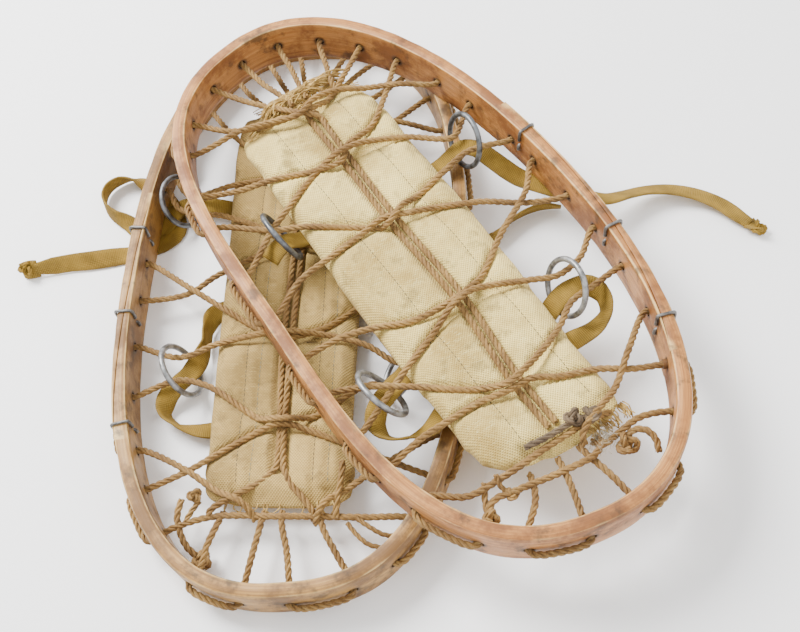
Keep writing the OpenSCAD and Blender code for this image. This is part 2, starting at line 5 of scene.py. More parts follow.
import bmesh
import bpy
from mathutils import Matrix, Vector, noise
from mathutils.bvhtree import BVHTree
from mathutils.kdtree import KDTree
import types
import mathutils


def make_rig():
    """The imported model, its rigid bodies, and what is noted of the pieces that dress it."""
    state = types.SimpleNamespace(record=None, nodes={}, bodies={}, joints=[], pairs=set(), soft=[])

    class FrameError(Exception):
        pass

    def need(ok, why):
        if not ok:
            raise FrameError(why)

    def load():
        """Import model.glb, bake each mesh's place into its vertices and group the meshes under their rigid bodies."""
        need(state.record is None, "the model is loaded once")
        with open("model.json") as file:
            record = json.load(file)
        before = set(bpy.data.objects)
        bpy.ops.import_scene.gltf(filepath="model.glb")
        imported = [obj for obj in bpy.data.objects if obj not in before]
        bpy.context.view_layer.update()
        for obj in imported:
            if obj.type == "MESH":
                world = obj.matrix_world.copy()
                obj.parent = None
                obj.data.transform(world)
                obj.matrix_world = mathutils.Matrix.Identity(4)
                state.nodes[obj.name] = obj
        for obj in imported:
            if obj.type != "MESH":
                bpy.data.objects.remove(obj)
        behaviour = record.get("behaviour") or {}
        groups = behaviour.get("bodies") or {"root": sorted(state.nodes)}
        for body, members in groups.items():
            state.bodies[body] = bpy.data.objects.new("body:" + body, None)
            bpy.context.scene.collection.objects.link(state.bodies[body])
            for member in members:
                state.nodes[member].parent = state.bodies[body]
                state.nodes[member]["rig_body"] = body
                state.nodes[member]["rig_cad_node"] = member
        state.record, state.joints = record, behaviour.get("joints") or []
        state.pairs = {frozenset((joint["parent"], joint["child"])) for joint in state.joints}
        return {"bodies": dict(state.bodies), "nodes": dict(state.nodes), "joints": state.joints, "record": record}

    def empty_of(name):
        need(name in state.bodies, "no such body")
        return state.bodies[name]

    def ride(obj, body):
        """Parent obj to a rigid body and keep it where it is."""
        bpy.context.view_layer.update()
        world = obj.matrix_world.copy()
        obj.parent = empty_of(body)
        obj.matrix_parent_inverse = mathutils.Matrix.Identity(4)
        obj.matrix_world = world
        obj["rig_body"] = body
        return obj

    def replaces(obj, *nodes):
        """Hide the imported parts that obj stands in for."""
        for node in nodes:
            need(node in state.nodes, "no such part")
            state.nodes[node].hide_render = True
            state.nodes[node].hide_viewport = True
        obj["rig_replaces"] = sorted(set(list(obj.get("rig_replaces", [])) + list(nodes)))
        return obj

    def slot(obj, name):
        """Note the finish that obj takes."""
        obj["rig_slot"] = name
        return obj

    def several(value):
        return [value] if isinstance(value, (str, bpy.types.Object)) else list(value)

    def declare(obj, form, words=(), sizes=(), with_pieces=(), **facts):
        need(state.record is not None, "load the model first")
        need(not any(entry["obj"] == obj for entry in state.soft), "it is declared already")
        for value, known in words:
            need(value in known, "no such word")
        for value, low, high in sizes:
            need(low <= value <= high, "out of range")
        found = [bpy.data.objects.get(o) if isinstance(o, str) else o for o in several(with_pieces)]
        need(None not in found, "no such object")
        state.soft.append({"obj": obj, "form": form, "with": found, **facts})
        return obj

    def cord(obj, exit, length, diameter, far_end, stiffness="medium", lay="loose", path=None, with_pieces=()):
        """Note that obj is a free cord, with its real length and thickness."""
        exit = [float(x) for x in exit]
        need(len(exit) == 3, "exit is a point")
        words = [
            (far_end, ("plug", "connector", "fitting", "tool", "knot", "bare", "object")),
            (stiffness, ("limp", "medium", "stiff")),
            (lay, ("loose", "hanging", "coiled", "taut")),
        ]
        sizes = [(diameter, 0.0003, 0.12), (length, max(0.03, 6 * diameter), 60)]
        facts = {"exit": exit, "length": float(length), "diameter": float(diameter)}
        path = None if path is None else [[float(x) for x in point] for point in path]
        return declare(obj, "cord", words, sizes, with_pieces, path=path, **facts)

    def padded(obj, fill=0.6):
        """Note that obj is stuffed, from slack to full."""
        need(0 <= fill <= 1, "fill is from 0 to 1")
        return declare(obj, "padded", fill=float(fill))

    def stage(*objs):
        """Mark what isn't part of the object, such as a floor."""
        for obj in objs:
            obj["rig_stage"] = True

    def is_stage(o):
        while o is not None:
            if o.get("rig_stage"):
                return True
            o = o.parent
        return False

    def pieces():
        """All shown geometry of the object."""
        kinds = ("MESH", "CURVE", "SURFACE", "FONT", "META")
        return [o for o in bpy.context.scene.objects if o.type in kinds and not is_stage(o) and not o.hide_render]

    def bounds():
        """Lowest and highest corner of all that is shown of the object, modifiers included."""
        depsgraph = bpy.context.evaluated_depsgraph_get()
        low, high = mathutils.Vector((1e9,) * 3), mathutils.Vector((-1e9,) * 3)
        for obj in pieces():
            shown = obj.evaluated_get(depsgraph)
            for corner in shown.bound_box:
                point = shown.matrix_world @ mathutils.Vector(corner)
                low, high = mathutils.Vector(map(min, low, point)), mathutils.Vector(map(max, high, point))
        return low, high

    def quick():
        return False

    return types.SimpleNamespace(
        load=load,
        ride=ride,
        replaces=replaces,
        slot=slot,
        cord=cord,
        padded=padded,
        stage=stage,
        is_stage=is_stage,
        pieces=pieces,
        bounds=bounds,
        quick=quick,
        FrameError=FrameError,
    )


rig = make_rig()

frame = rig.load()
cad_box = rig.bounds()
scene = bpy.context.scene

# ---- The pair on its pale table, seen from above and in front ----
# The shoes lie upside down, the upper one across the lower. A white sweep stands under
# them, a broad soft light comes from the far left, and a weaker one fills from the right.
MM = 0.001
EYE = Vector((0.0820, -0.4457, 0.7380))
AIM = Vector((0.0063, -0.0268, 0.0))
TILT = math.radians(-10.42)
forward = (AIM - EYE).normalized()
level = forward.cross(Vector((0, 0, 1))).normalized()
upward = level.cross(forward)
across = level * math.cos(TILT) + upward * math.sin(TILT)
rise = upward * math.cos(TILT) - level * math.sin(TILT)
camera = bpy.data.objects.new("camera", bpy.data.cameras.new("camera"))
camera.data.sensor_width = 36
camera.data.lens = 47.45
camera.data.clip_start, camera.data.clip_end = 0.01, 50
camera.matrix_world = Matrix.Translation(EYE) @ Matrix((across, rise, -forward)).transposed().to_4x4()
scene.collection.objects.link(camera)
scene.camera = camera


class Value:
    """A shader socket that adds, subtracts, multiplies and divides as a number does."""

    def __init__(self, finish, socket):
        self.finish, self.socket = finish, socket

    def join(self, how, one, two):
        return self.finish.node("ShaderNodeMath", {"operation": how}, {0: one, 1: two})

    def __add__(self, other): return self.join("ADD", self, other)
    def __radd__(self, other): return self.join("ADD", other, self)
    def __sub__(self, other): return self.join("SUBTRACT", self, other)
    def __rsub__(self, other): return self.join("SUBTRACT", other, self)
    def __mul__(self, other): return self.join("MULTIPLY", self, other)
    def __rmul__(self, other): return self.join("MULTIPLY", other, self)
    def __truediv__(self, other): return self.join("DIVIDE", self, other)
    def __pow__(self, other): return self.join("POWER", self, other)


class Finish:
    """A material under one Principled shader, with its nodes made by one method."""

    def __init__(self, name, **fixed):
        self.material = bpy.data.materials.new(name)
        self.material.use_nodes = True
        self.nodes, self.links = self.material.node_tree.nodes, self.material.node_tree.links
        self.shader = self.nodes["Principled BSDF"]
        for socket, value in fixed.items():
            self.shader.inputs[socket.replace("_", " ")].default_value = value

    def node(self, kind, settings=None, sockets=None, out=0):
        made = self.nodes.new(kind)
        for name, value in (settings or {}).items():
            if name == "stops":
                ramp = made.color_ramp.elements
                while len(ramp) < len(value):
                    ramp.new(0.5)
                for stop, (place, colour) in zip(ramp, value):
                    stop.position, stop.color = place, (*colour, 1)
            else:
                setattr(made, name, value)
        for name, value in (sockets or {}).items():
            if isinstance(value, Value):
                self.links.new(value.socket, made.inputs[name])
            else:
                made.inputs[name].default_value = value
        return Value(self, made.outputs[out])

    def noise(self, where, scale, detail=4.0, rough=0.55, stretch=None, out=0):
        if stretch:
            where = self.node("ShaderNodeMapping", None, {"Vector": where, "Scale": stretch})
        return self.node("ShaderNodeTexNoise", None,
                         {"Vector": where, "Scale": scale, "Detail": detail, "Roughness": rough}, out)

    def ramp(self, value, *stops):
        return self.node("ShaderNodeValToRGB", {"stops": stops}, {0: value})

    def between(self, value, low, high, bottom=0.0, top=1.0):
        return self.node("ShaderNodeMapRange", {"interpolation_type": "SMOOTHSTEP"},
                         {"Value": value, "From Min": low, "From Max": high, "To Min": bottom, "To Max": top})

    def mix(self, share, one, two, how="MIX"):
        one = one if isinstance(one, Value) else (*one, 1)
        two = two if isinstance(two, Value) else (*two, 1)
        return self.node("ShaderNodeMix", {"data_type": "RGBA", "blend_type": how},
                         {0: share, 6: one, 7: two}, 2)

    def finish(self, colour=None, rough=None, height=None, bump=0.5, depth=0.001, metal=None):
        for name, value in (("Base Color", colour), ("Roughness", rough), ("Metallic", metal)):
            if isinstance(value, Value):
                self.links.new(value.socket, self.shader.inputs[name])
            elif value is not None:
                self.shader.inputs[name].default_value = value
        if height is not None:
            made = self.node("ShaderNodeBump", None,
                             {"Strength": bump, "Distance": depth, "Height": height})
            self.links.new(made.socket, self.shader.inputs["Normal"])
        return self.material


def place(bm, name, material, smooth=True):
    """Makes a finished mesh an object at the origin."""
    mesh = bpy.data.meshes.new(name)
    bm.to_mesh(mesh)
    bm.free()
    made = bpy.data.objects.new(name, mesh)
    scene.collection.objects.link(made)
    mesh.materials.append(material)
    mesh.polygons.foreach_set("use_smooth", [smooth] * len(mesh.polygons))
    return made


table = Finish("table_white", Roughness=0.7)
table.finish((1, 1, 1, 1))
bm = bmesh.new()
bmesh.ops.create_grid(bm, x_segments=1, y_segments=1, size=6)
floor = place(bm, "table_top", table.material, False)
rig.stage(floor)

world = bpy.data.worlds.new("studio")
world.use_nodes = True
world.node_tree.nodes["Background"].inputs["Color"].default_value = (1, 1, 1, 1)
world.node_tree.nodes["Background"].inputs["Strength"].default_value = 1.35
scene.world = world


def lamp(name, at, size, power):
    light = bpy.data.objects.new(name, bpy.data.lights.new(name, "AREA"))
    light.data.size, light.data.energy = size, power
    light.location = at
    light.rotation_euler = (-Vector(at)).to_track_quat("-Z", "Y").to_euler()
    scene.collection.objects.link(light)


lamp("window_left", (-1.1, 0.7, 1.5), 0.9, 100)
lamp("fill_right", (1.2, -0.5, 1.3), 1.4, 12)

# ---- The two shoes' places ----
# Every point of a shoe is given on that shoe, in millimetres: x across it, y along it
# and z up from its lower edge. The upper shoe is turned and lies on the lower one.
TURN = math.radians(34.7)


def lower(p):
    return Vector((p[0] - 76, p[1], p[2])) * MM


def upper(p):
    x = p[0] * math.cos(TURN) - p[1] * math.sin(TURN)
    y = p[0] * math.sin(TURN) + p[1] * math.cos(TURN)
    return Vector((x + 24, y, p[2] + 40.4)) * MM


def signed_power(c, p):
    return math.copysign(abs(c) ** p, c)


def outline(q, t):
    c, s = math.cos(math.radians(t)), math.sin(math.radians(t))
    u, v = signed_power(c, 2 / q[2]), signed_power(s, 2 / q[2])
    return Vector((q[0] * (u * (1 + q[3] * v + q[6] * v * v) + q[4] * v * v), q[1] * v * (1 + q[5] * u), 0))


def edge(q, t, depth, z):
    """A point in the strip: depth in from its outer face, at height z."""
    along = (outline(q, t + 0.5) - outline(q, t - 0.5)).normalized()
    p = outline(q, t)
    return Vector((p.x - along.y * depth, p.y + along.x * depth, z))


LOWER = (139, 264, 2.46, 0, 0.09, -0.04, 0.03)
UPPER = (132, 258, 2.29, -0.02, -0.23, 0.13, 0.09)
WALL, DEPTH, HOLE_Z = 11, 40, 20
PAD_Z, ON_PAD, OVER = 21, 24.3, 30.5

# ---- The webbing ties and the free cord ends ----
# Each shoe has a cotton tie passed through its rings. Its long end runs out under the
# strip and along the table, and is knotted so that it can't ravel.
STRAP_W, STRAP_T = 16, 2


def flow(points, step):
    """A smooth line through the points, with a point every step or so."""
    p = [Vector(v) for v in points]
    p = [p[0] * 2 - p[1]] + p + [p[-1] * 2 - p[-2]]
    line = []
    for a, b, c, d in zip(p, p[1:], p[2:], p[3:]):
        before, here, after = (b - a).length, (c - b).length, (d - c).length
        out = ((b - a) / before * here + (c - b) / here * before) / (before + here) * min(here, 2 * before)
        into = ((c - b) / here * after + (d - c) / after * here) / (here + after) * min(here, 2 * after)
        n = max(1, round(here / step))
        for k in range(n):
            s = k / n
            line.append(b * (1 + 2 * s) * (1 - s) ** 2 + out * s * (1 - s) ** 2
                        + c * s * s * (3 - 2 * s) - into * s * s * (1 - s))
    return line + [p[-2]]


def drawn(profile, frames, closed=False):
    """A section drawn along a line: the section is extruded and set on each frame in turn."""
    bm = bmesh.new()
    mark = bm.verts.layers.int.new("place")
    ring = [bm.verts.new(frames[0](*corner)) for corner in profile]
    for k, v in enumerate(ring):
        v[mark] = k
    first = edges = [bm.edges.new((ring[k - 1], ring[k])) for k in range(len(ring))]
    for f in frames[1:]:
        grown = bmesh.ops.extrude_edge_only(bm, edges=edges)["geom"]
        edges = [g for g in grown if isinstance(g, bmesh.types.BMEdge)]
        for v in (g for g in grown if isinstance(g, bmesh.types.BMVert)):
            v.co = f(*profile[v[mark]])
    if closed:
        bmesh.ops.bridge_loops(bm, edges=list(edges) + list(first))
    else:
        bmesh.ops.holes_fill(bm, edges=list(edges) + list(first), sides=len(profile))
    bmesh.ops.recalc_face_normals(bm, faces=bm.faces)
    return bm


webbing = Finish("cotton_webbing", Roughness=0.85, Specular_IOR_Level=0.2)
spot = webbing.node("ShaderNodeAttribute", {"attribute_name": "cloth"}, None, 1)
split = webbing.node("ShaderNodeSeparateXYZ", None, {0: spot})
along_x, across_y = split, Value(webbing, split.socket.node.outputs[1])
twill = webbing.node("ShaderNodeMath", {"operation": "SINE"}, {0: along_x * 2300 + across_y * 2700})
rib = webbing.node("ShaderNodeMath", {"operation": "SINE"}, {0: across_y * 2900 - along_x * 2000})
where = webbing.node("ShaderNodeTexCoord", None, None, 3)
dirt = webbing.noise(where, 55, 6)
fine = webbing.noise(where, 420, 3)
tone = webbing.mix(webbing.between(dirt, 0.3, 0.7), (0.12, 0.068, 0.009), (0.26, 0.155, 0.022))
tone = webbing.mix(webbing.between(twill * rib, -0.4, 0.8, 0.0, 0.6), tone, (0.40, 0.26, 0.05))
tone = webbing.mix(webbing.between(fine, 0.55, 0.8, 0.0, 0.4), tone, (0.13, 0.08, 0.02))
selvedge = webbing.node("ShaderNodeMath", {"operation": "ABSOLUTE"}, {0: across_y})
tone = webbing.mix(webbing.between(selvedge, 0.0062, 0.0074, 0.0, 0.45), tone, (0.17, 0.11, 0.03))
webbing.finish(tone, None, twill * rib * 0.6 + fine * 0.5, 0.7, 0.0004)


def strap(name, route, to_row, gathered=0.0):
    """Flat webbing along points of x, y, z and roll; it also gives the line it follows."""
    line = flow([p[:3] for p in route], 3)
    rolls = []
    for a, b in zip(route, route[1:]):
        n = max(1, round((Vector(b[:3]) - Vector(a[:3])).length / 3))
        rolls += [a[3] + (b[3] - a[3]) * k / n for k in range(n)]
    rolls.append(route[-1][3])
    profile = ((-8, -0.45), (-7.6, -0.95), (-4, -1), (0, -1), (4, -1), (7.6, -0.95), (8, -0.45),
               (8, 0.45), (7.6, 0.95), (4, 1), (0, 1), (-4, 1), (-7.6, 0.95), (-8, 0.45))
    frames = []
    for k, p in enumerate(line):
        way = (line[min(k + 1, len(line) - 1)] - line[max(k - 1, 0)]).normalized()
        side = way.cross(Vector((0, 0, 1))).normalized()
        lift = side.cross(way)
        roll = math.radians(rolls[k])
        wide, out = side * math.cos(roll) + lift * math.sin(roll), lift * math.cos(roll) - side * math.sin(roll)
        thin = 1 - gathered * max(0.0, 1 - (len(line) - 1 - k) / 5)
        frames.append(lambda x, y, p=p, wide=wide * thin, out=out / thin: to_row(p + wide * x + out * y))
    made = place(drawn(profile, frames), name, webbing.material)
    note_lay(made, [to_row(p) for p in line], "cloth")
    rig.slot(made, "webbing")
    return made, [to_row(p) for p in line]


def note_lay(made, line, name):
    """Keeps, at each point of a mesh, how far along its line it is and how far to the side."""
    tree = KDTree(len(line))
    run = [0.0]
    for a, b in zip(line, line[1:]):
        run.append(run[-1] + (b - a).length)
    for k, p in enumerate(line):
        tree.insert(p, k)
    tree.balance()
    layer = made.data.attributes.new(name, "FLOAT_VECTOR", "POINT")
    for v in made.data.vertices:
        p, k, gap = tree.find(v.co)
        way = (line[min(k + 1, len(line) - 1)] - line[max(k - 1, 0)]).normalized()
        off = v.co - p
        side = way.cross(Vector((0, 0, 1))).normalized()
        layer.data[v.index].vector = (run[k] + off.dot(way), math.copysign((off - way * off.dot(way)).length, off.dot(side)), 0)


def length_of(line):
    return sum((b - a).length for a, b in zip(line, line[1:]))


LOWER_TOE_STRAP = (
    (-20, 80, 4, 0), (-60, 80, 5, 0), (-80, 80, 12, 0), (-98, 80, 14.5, 0), (-107, 79, 13, 0),
    (-116, 74, 7, 0), (-124, 66, 2.4, 0), (-134, 60, 1.3, 0), (-145, 62, 4.6, 25), (-156, 69, 7.8, 55),
    (-166, 74, 9.4, 75), (-175, 82, 9.8, 82), (-180, 93, 10, 85), (-178, 105, 10, 82),
    (-169, 113, 9.6, 75), (-157, 115, 8.2, 55), (-146, 111, 4.8, 20), (-137, 105, 1.8, 0),
    (-126, 95, 2, 0), (-116, 78, 2.2, 0), (-113, 60, 2, 0), (-122, 50, 1.5, 0), (-135, 45, 1.3, 0),
    (-150, 40, 1.3, 0), (-165, 36, 4, 20), (-182, 32, 6.4, 40), (-200, 29, 8, 58),
    (-217, 26, 8.2, 62), (-229, 24, 8.4, 62))
UPPER_TOE_STRAP = (
    (-97, 64, 10, 0), (-88, 67, 14, 0), (-78, 69, 13.5, 0), (-66, 69, 6, 0), (-20, 66, 4.5, 0),
    (40, 62, 4.5, 0), (62, 60, 7, 0), (76, 59, 14, 0), (85, 59, 16.5, 0), (93, 52, 16, 0),
    (99, 40, 11, -10), (105, 28, 4.5, -15), (111, 18, -1, -10), (118, 8, -3.2, 0),
    (126, -4, -3.8, 0), (134, -15, -5.5, 0), (148, -27, -10, 10),
    (162, -34, -16, 20), (180, -37, -22, 30), (198, -41, -27, 30), (216, -51, -30, 25),
    (232, -67, -33, 20), (242, -86, -35, 15), (246, -104, -36, 15), (248, -113, -36, 15))
LOWER_HEEL_STRAP = (
    (-24, -12, 5, 0), (-50, -15, 5, 0), (-60, -19, 5.4, 0), (-69, -27, 8, 35), (-72, -40, 9.8, 75),
    (-72, -54, 10, 80), (-75, -69, 12, 45), (-81, -82, 14, 0), (-90, -92, 14, 0), (-97, -102, 12, 25),
    (-98, -114, 10, 65), (-88, -123, 10, 72), (-73, -127, 7.6, 38), (-50, -126, 5, 0), (-24, -124, 5, 0))
UPPER_HEEL_STRAP = (
    (-30, -62, 4.5, 0), (-52, -74, 4.8, 0), (-67, -81, 7, 0), (-76, -85, 12, 0), (-85, -89, 15, 0),
    (-97, -94, 14.6, 0), (-105, -103, 12.6, 25), (-104, -115, 10, 62), (-92, -124, 9.6, 70),
    (-78, -127, 7.4, 36), (-58, -121, 4.8, 0), (-20, -110, 4.5, 0), (30, -104, 4.5, 0), (48, -101, 5.4, 0),
    (57, -99, 11, 0), (65, -98, 15, 0), (76, -98, 14.6, 0), (87, -102, 11.6, -30),
    (91, -113, 9.2, -60), (86, -124, 8.4, -60), (73, -130, 6.4, -30), (52, -129, 4.6, 0), (20, -124, 4.5, 0))

# ---- Laid cord ----
# The net is brown three-strand cord, six millimetres thick, tarred and dusty. Three round
# strands turn about one line, and each strand is drawn as its own tube.
CORD_D, LAY = 6, 17


def cord_finish(name, dark, middle, light, dust):
    made = Finish(name, Roughness=0.8, Sheen_Weight=0.05, Sheen_Roughness=0.5)
    lay = made.node("ShaderNodeAttribute", {"attribute_name": "lay"}, None, 1)
    parts = made.node("ShaderNodeSeparateXYZ", None, {0: lay})
    depth, thread = parts, Value(made, parts.socket.node.outputs[1])
    where = made.node("ShaderNodeTexCoord", None, None, 3)
    patch = made.noise(where, 45, 5)
    grain = made.noise(where, 700, 3)
    colour = made.mix(made.between(patch, 0.32, 0.68), middle, light)
    colour = made.mix(made.between(grain, 0.45, 0.75, 0.0, 0.6), colour, dark)
    # painted shade: each strand is darkened on its inner side, in the grooves between strands, where the lay
    # attribute's first value is small
    colour = made.mix(made.between(depth, 0.84, 0.36, 0.0, 0.9), colour, dark)
    colour = made.mix(made.between(made.noise(where, 130, 4), 0.56, 0.74, 0.0, 0.5), colour, dust)
    hairs = made.node("ShaderNodeMath", {"operation": "SINE"}, {0: thread})
    made.finish(colour, None, hairs * 0.5 + grain, 0.6, 0.0004)
    return made.material


# the dark colour serves both the fibre specks and the painted shade in the grooves between strands
brown_cord = cord_finish("brown_laid_cord", (0.050, 0.022, 0.005), (0.195, 0.100, 0.023), (0.34, 0.195, 0.052),
                         (0.44, 0.29, 0.10))
tarred_cord = cord_finish("tarred_cord", (0.035, 0.022, 0.014), (0.10, 0.065, 0.035), (0.20, 0.135, 0.07),
                          (0.30, 0.23, 0.15))


def lay_cord(name, lines, material, d=CORD_D, to_row=None, lay=LAY, taper=0.0):
    """Three-strand cord along each line of points, given on the shoe in millimetres."""
    curve = bpy.data.curves.new(name, "CURVE")
    curve.dimensions, curve.bevel_resolution, curve.use_fill_caps = "3D", 2, True
    radius = d / 2 * 0.43
    curve.bevel_depth = radius * MM
    notes = []
    for n, points in enumerate(lines):
        line = flow(points, 1.6)
        across, turn, run = None, n * 1.7, 0.0
        rows = []
        for k, p in enumerate(line):
            way = (line[min(k + 1, len(line) - 1)] - line[max(k - 1, 0)]).normalized()
            across = (way.orthogonal() if across is None else across - way * across.dot(way)).normalized()
            run += (line[k] - line[k - 1]).length if k else 0
            spread = 1 - taper * max(0.0, 1 - (len(line) - 1 - k) / 6)
            rows.append((p, across.copy(), way.cross(across), turn + run / lay * math.tau, spread))
        for s in range(3):
            spline = curve.splines.new("POLY")
            spline.points.add(len(rows) - 1)
            for k, (p, a, b, angle, spread) in enumerate(rows):
                angle += s * math.tau / 3
                q = to_row(p + (a * math.cos(angle) + b * math.sin(angle)) * d / 2 * 0.46 * spread)
                spline.points[k].co = (*q, 1)
                notes.append((to_row(p), run))
    maker = bpy.data.objects.new(name + "_line", curve)
    scene.collection.objects.link(maker)
    mesh = bpy.data.meshes.new_from_object(maker.evaluated_get(bpy.context.evaluated_depsgraph_get()))
    bpy.data.objects.remove(maker)
    made = bpy.data.objects.new(name, mesh)
    scene.collection.objects.link(made)
    mesh.materials.clear()
    mesh.materials.append(material)
    mesh.polygons.foreach_set("use_smooth", [True] * len(mesh.polygons))
    sides = len(mesh.vertices) // len(notes)
    # the lay attribute keeps each point's distance from the cord's centre, from which the finish paints shade in the
    # grooves between strands
    layer = mesh.attributes.new("lay", "FLOAT_VECTOR", "POINT")
    values = []
    for k, v in enumerate(mesh.vertices):
        centre = notes[min(k // sides, len(notes) - 1)][0]
        values += ((v.co - centre).length / (d / 2 * MM), (k % sides) / sides * math.tau * 4, 0)
    layer.data.foreach_set("vector", values)
    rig.slot(made, "cord")
    return made


def knot_line(at, size, heading=0.0, lean=0.0):
    """The line of a tight overhand knot."""
    line = []
    for k in range(25):
        t = k / 24 * math.tau * 0.94
        p = Vector((math.sin(t) + 2 * math.sin(2 * t), math.cos(t) - 2 * math.cos(2 * t), -1.3 * math.sin(3 * t)))
        p = Matrix.Rotation(heading, 3, "Z") @ Matrix.Rotation(lean, 3, "X") @ p
        line.append(Vector(at) + p * size / 3)
    return line


for shoe, route, to_row in (("lower", LOWER_TOE_STRAP, lower), ("upper", UPPER_TOE_STRAP, upper)):
    tie, line = strap(shoe + "_tie", route, to_row, 0.35)
    end = Vector(route[-1][:3])
    onward = (end - Vector(route[-2][:3])).normalized()
    knot = end + onward * 7.5
    stub = strap(shoe + "_tie_end", [(*(end - onward * 2), route[-1][3]), (*(end + onward * 5), 40), (*(end + onward * 12), 75)], to_row)[0]
    wrap = lay_cord(shoe + "_tie_knot", [knot_line(knot + Vector((0, 0, 1.5 if shoe == "upper" else 2.2)), 5.6, 0.6, 0.5)],
                    brown_cord, 4.4, to_row, 12)
    for piece in (tie, stub, wrap):
        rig.ride(piece, shoe + "_shoe")
    wrap.data.materials[0] = webbing.material
    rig.slot(wrap, "webbing")
    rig.replaces(tie, shoe + "_toe_strap")
    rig.replaces(wrap, shoe + "_strap_knot")
    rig.cord(tie, exit=line[0], length=length_of(line), diameter=STRAP_W * MM, far_end="knot", stiffness="medium",
            lay="loose", path=line, with_pieces=[stub, wrap])

for shoe, route, to_row in (("lower", LOWER_HEEL_STRAP, lower), ("upper", UPPER_HEEL_STRAP, upper)):
    band, line = strap(shoe + "_heel_band", route, to_row)
    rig.ride(band, shoe + "_shoe")
    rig.replaces(band, shoe + "_heel_strap")

side_band, _ = strap("lower_side_band", ((140, 30, 3, 0), (152, 38, 5, 25), (162, 46, 8, 55), (172, 55, 8.4, 68), (183, 63, 8.6, 72),
                                         (194, 68, 8.6, 72), (205, 70, 8.6, 70), (216, 69, 8.4, 60)), lower)
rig.ride(side_band, "lower_shoe")
LOWER_TAIL = ((-72, -188, 22), (-74, -200, 21), (-71, -212, 18), (-66, -221, 14), (-60, -226, 10))
UPPER_TAIL = ((39, -236, 20), (43, -228, 21), (42, -219, 21), (36, -214, 20), (27, -216, 18.5), (18, -220, 17.5))
for shoe, route, to_row, knot_at, size in (("lower", LOWER_TAIL, lower, (-55, -229, 9.5), 5.6),
                                           ("upper", UPPER_TAIL, upper, (26, -219, 18.5), 7.0)):
    tail = lay_cord(shoe + "_free_end", [route], brown_cord, CORD_D, to_row)
    stopper = lay_cord(shoe + "_stopper_knot", [knot_line(knot_at, size, 0.8, 0.35)], brown_cord, CORD_D, to_row)
    line = [to_row(p) for p in flow(route, 1.6)]
    for piece in (tail, stopper):
        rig.ride(piece, shoe + "_shoe")
    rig.replaces(tail, shoe + "_heel_tail")
    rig.replaces(stopper, shoe + "_heel_tail_knot")
    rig.cord(tail, exit=line[0], length=length_of(line), diameter=CORD_D * MM, far_end="knot", stiffness="medium",
            lay="loose", path=line, with_pieces=[stopper])

# ---- The net of each shoe ----
# One brown cord is laced from hole to hole across the foot pad. It goes through the strip,
# lies along its outside to the next hole, and comes back over the double centre cord.
def hole(q, t):
    return [edge(q, t, 4, HOLE_Z), edge(q, t, 12.5, HOLE_Z)]


def over(q, left, right, lift=0.0):
    """A cord from a hole on the left, over the centre and back to a hole on the right."""
    middle = [Vector(left[1][-1]), Vector(right[1][-1])]
    middle = [Vector((p.x, p.y, p.z + lift)) for p in middle]
    return (hole(q, left[0]) + [Vector(p) for p in left[1][:-1]] + middle
            + [Vector(p) for p in reversed(right[1][:-1])] + hole(q, right[0])[::-1])


def outside(q, a, b):
    """Out at one hole, along the outside of the strip and in at the next."""
    reach = (outline(q, b) - outline(q, a)).length
    at = [(0, 5), (0, 0.5), (2.4 / reach, -2.3), (7 / reach, -3.25), (0.5, -3.3), (1 - 7 / reach, -3.25),
          (1 - 2.4 / reach, -2.3), (1, 0.5), (1, 5)]
    return [edge(q, a + (b - a) * f, depth, HOLE_Z) for f, depth in at]


LOWER_HOLES = (-2, 2, 10, 20, 31, 43, 56, 70, 84, 98, 112, 126, 140, 152, 164, 178,
               182, 189, 198, 209, 218, 230, 245, 260, 270, 284, 297, 309, 321, 331, 342, 351)
UPPER_HOLES = (1.5, 6, 15.5, 23.5, 34, 44.5, 57, 72, 86.5, 98, 115, 128, 144, 154, 168,
               178, 186, 194.5, 205, 215, 226, 243, 255, 269, 281, 295.5, 308.5, 320, 331.5, 341,
               349, 355.5)
LOWER_NET = (
    ((140, ((-66, 146, ON_PAD), (-24, 112, ON_PAD), (-5, 103, OVER))),
     (43, ((66, 146, ON_PAD), (24, 112, ON_PAD), (5, 103, OVER))), 0),
    ((152, ((-107, 128, 20.2), (-112, 104, 20.5), (-100, 86, 21), (-62, 92, ON_PAD), (-5, 96, OVER))),
     (20, ((104, 84, 20.5), (88, 82, 21), (60, 90, ON_PAD), (5, 96, OVER))), 0),
    ((164, ((-109, 75, 19), (-64, 60, ON_PAD), (-5, 33, OVER))),
     (10, ((90, 68, 19), (60, 55, ON_PAD), (5, 33, OVER))), 0),
    ((182, ((-87, -11, 19.5), (-68, 0, ON_PAD), (-5, 26, OVER))),
     (-2, ((87, -11, 19.5), (64, 0, ON_PAD), (5, 26, OVER))), 0),
    ((178, ((-87, -10, 26.5), (-62, -26, ON_PAD), (-25, -50, ON_PAD), (-8, -60, OVER))),
     (2, ((87, -10, 26.5), (60, -26, ON_PAD), (25, -50, ON_PAD), (2, -60, OVER))), 0),
    ((189, ((-86, -71, 21.5), (-60, -62, ON_PAD), (-8, -57, OVER))),
     (351, ((104, -77, 20.5), (86, -80, 21), (60, -66, ON_PAD), (2, -57, OVER))), 4),
    ((198, ((-85, -91, 21.5), (-64, -97, ON_PAD), (-19, -126, ON_PAD), (-6, -130, OVER))),
     (342, ((86, -95, 19), (62, -100, ON_PAD), (19, -126, ON_PAD), (4, -130, OVER))), 3.6),
    ((218, ((-66, -165, ON_PAD), (-50, -155, ON_PAD), (-18, -136, ON_PAD), (-6, -133, OVER))),
     (321, ((74, -158, 22), (54, -150, ON_PAD), (18, -136, ON_PAD), (4, -133, OVER))), -0.6))
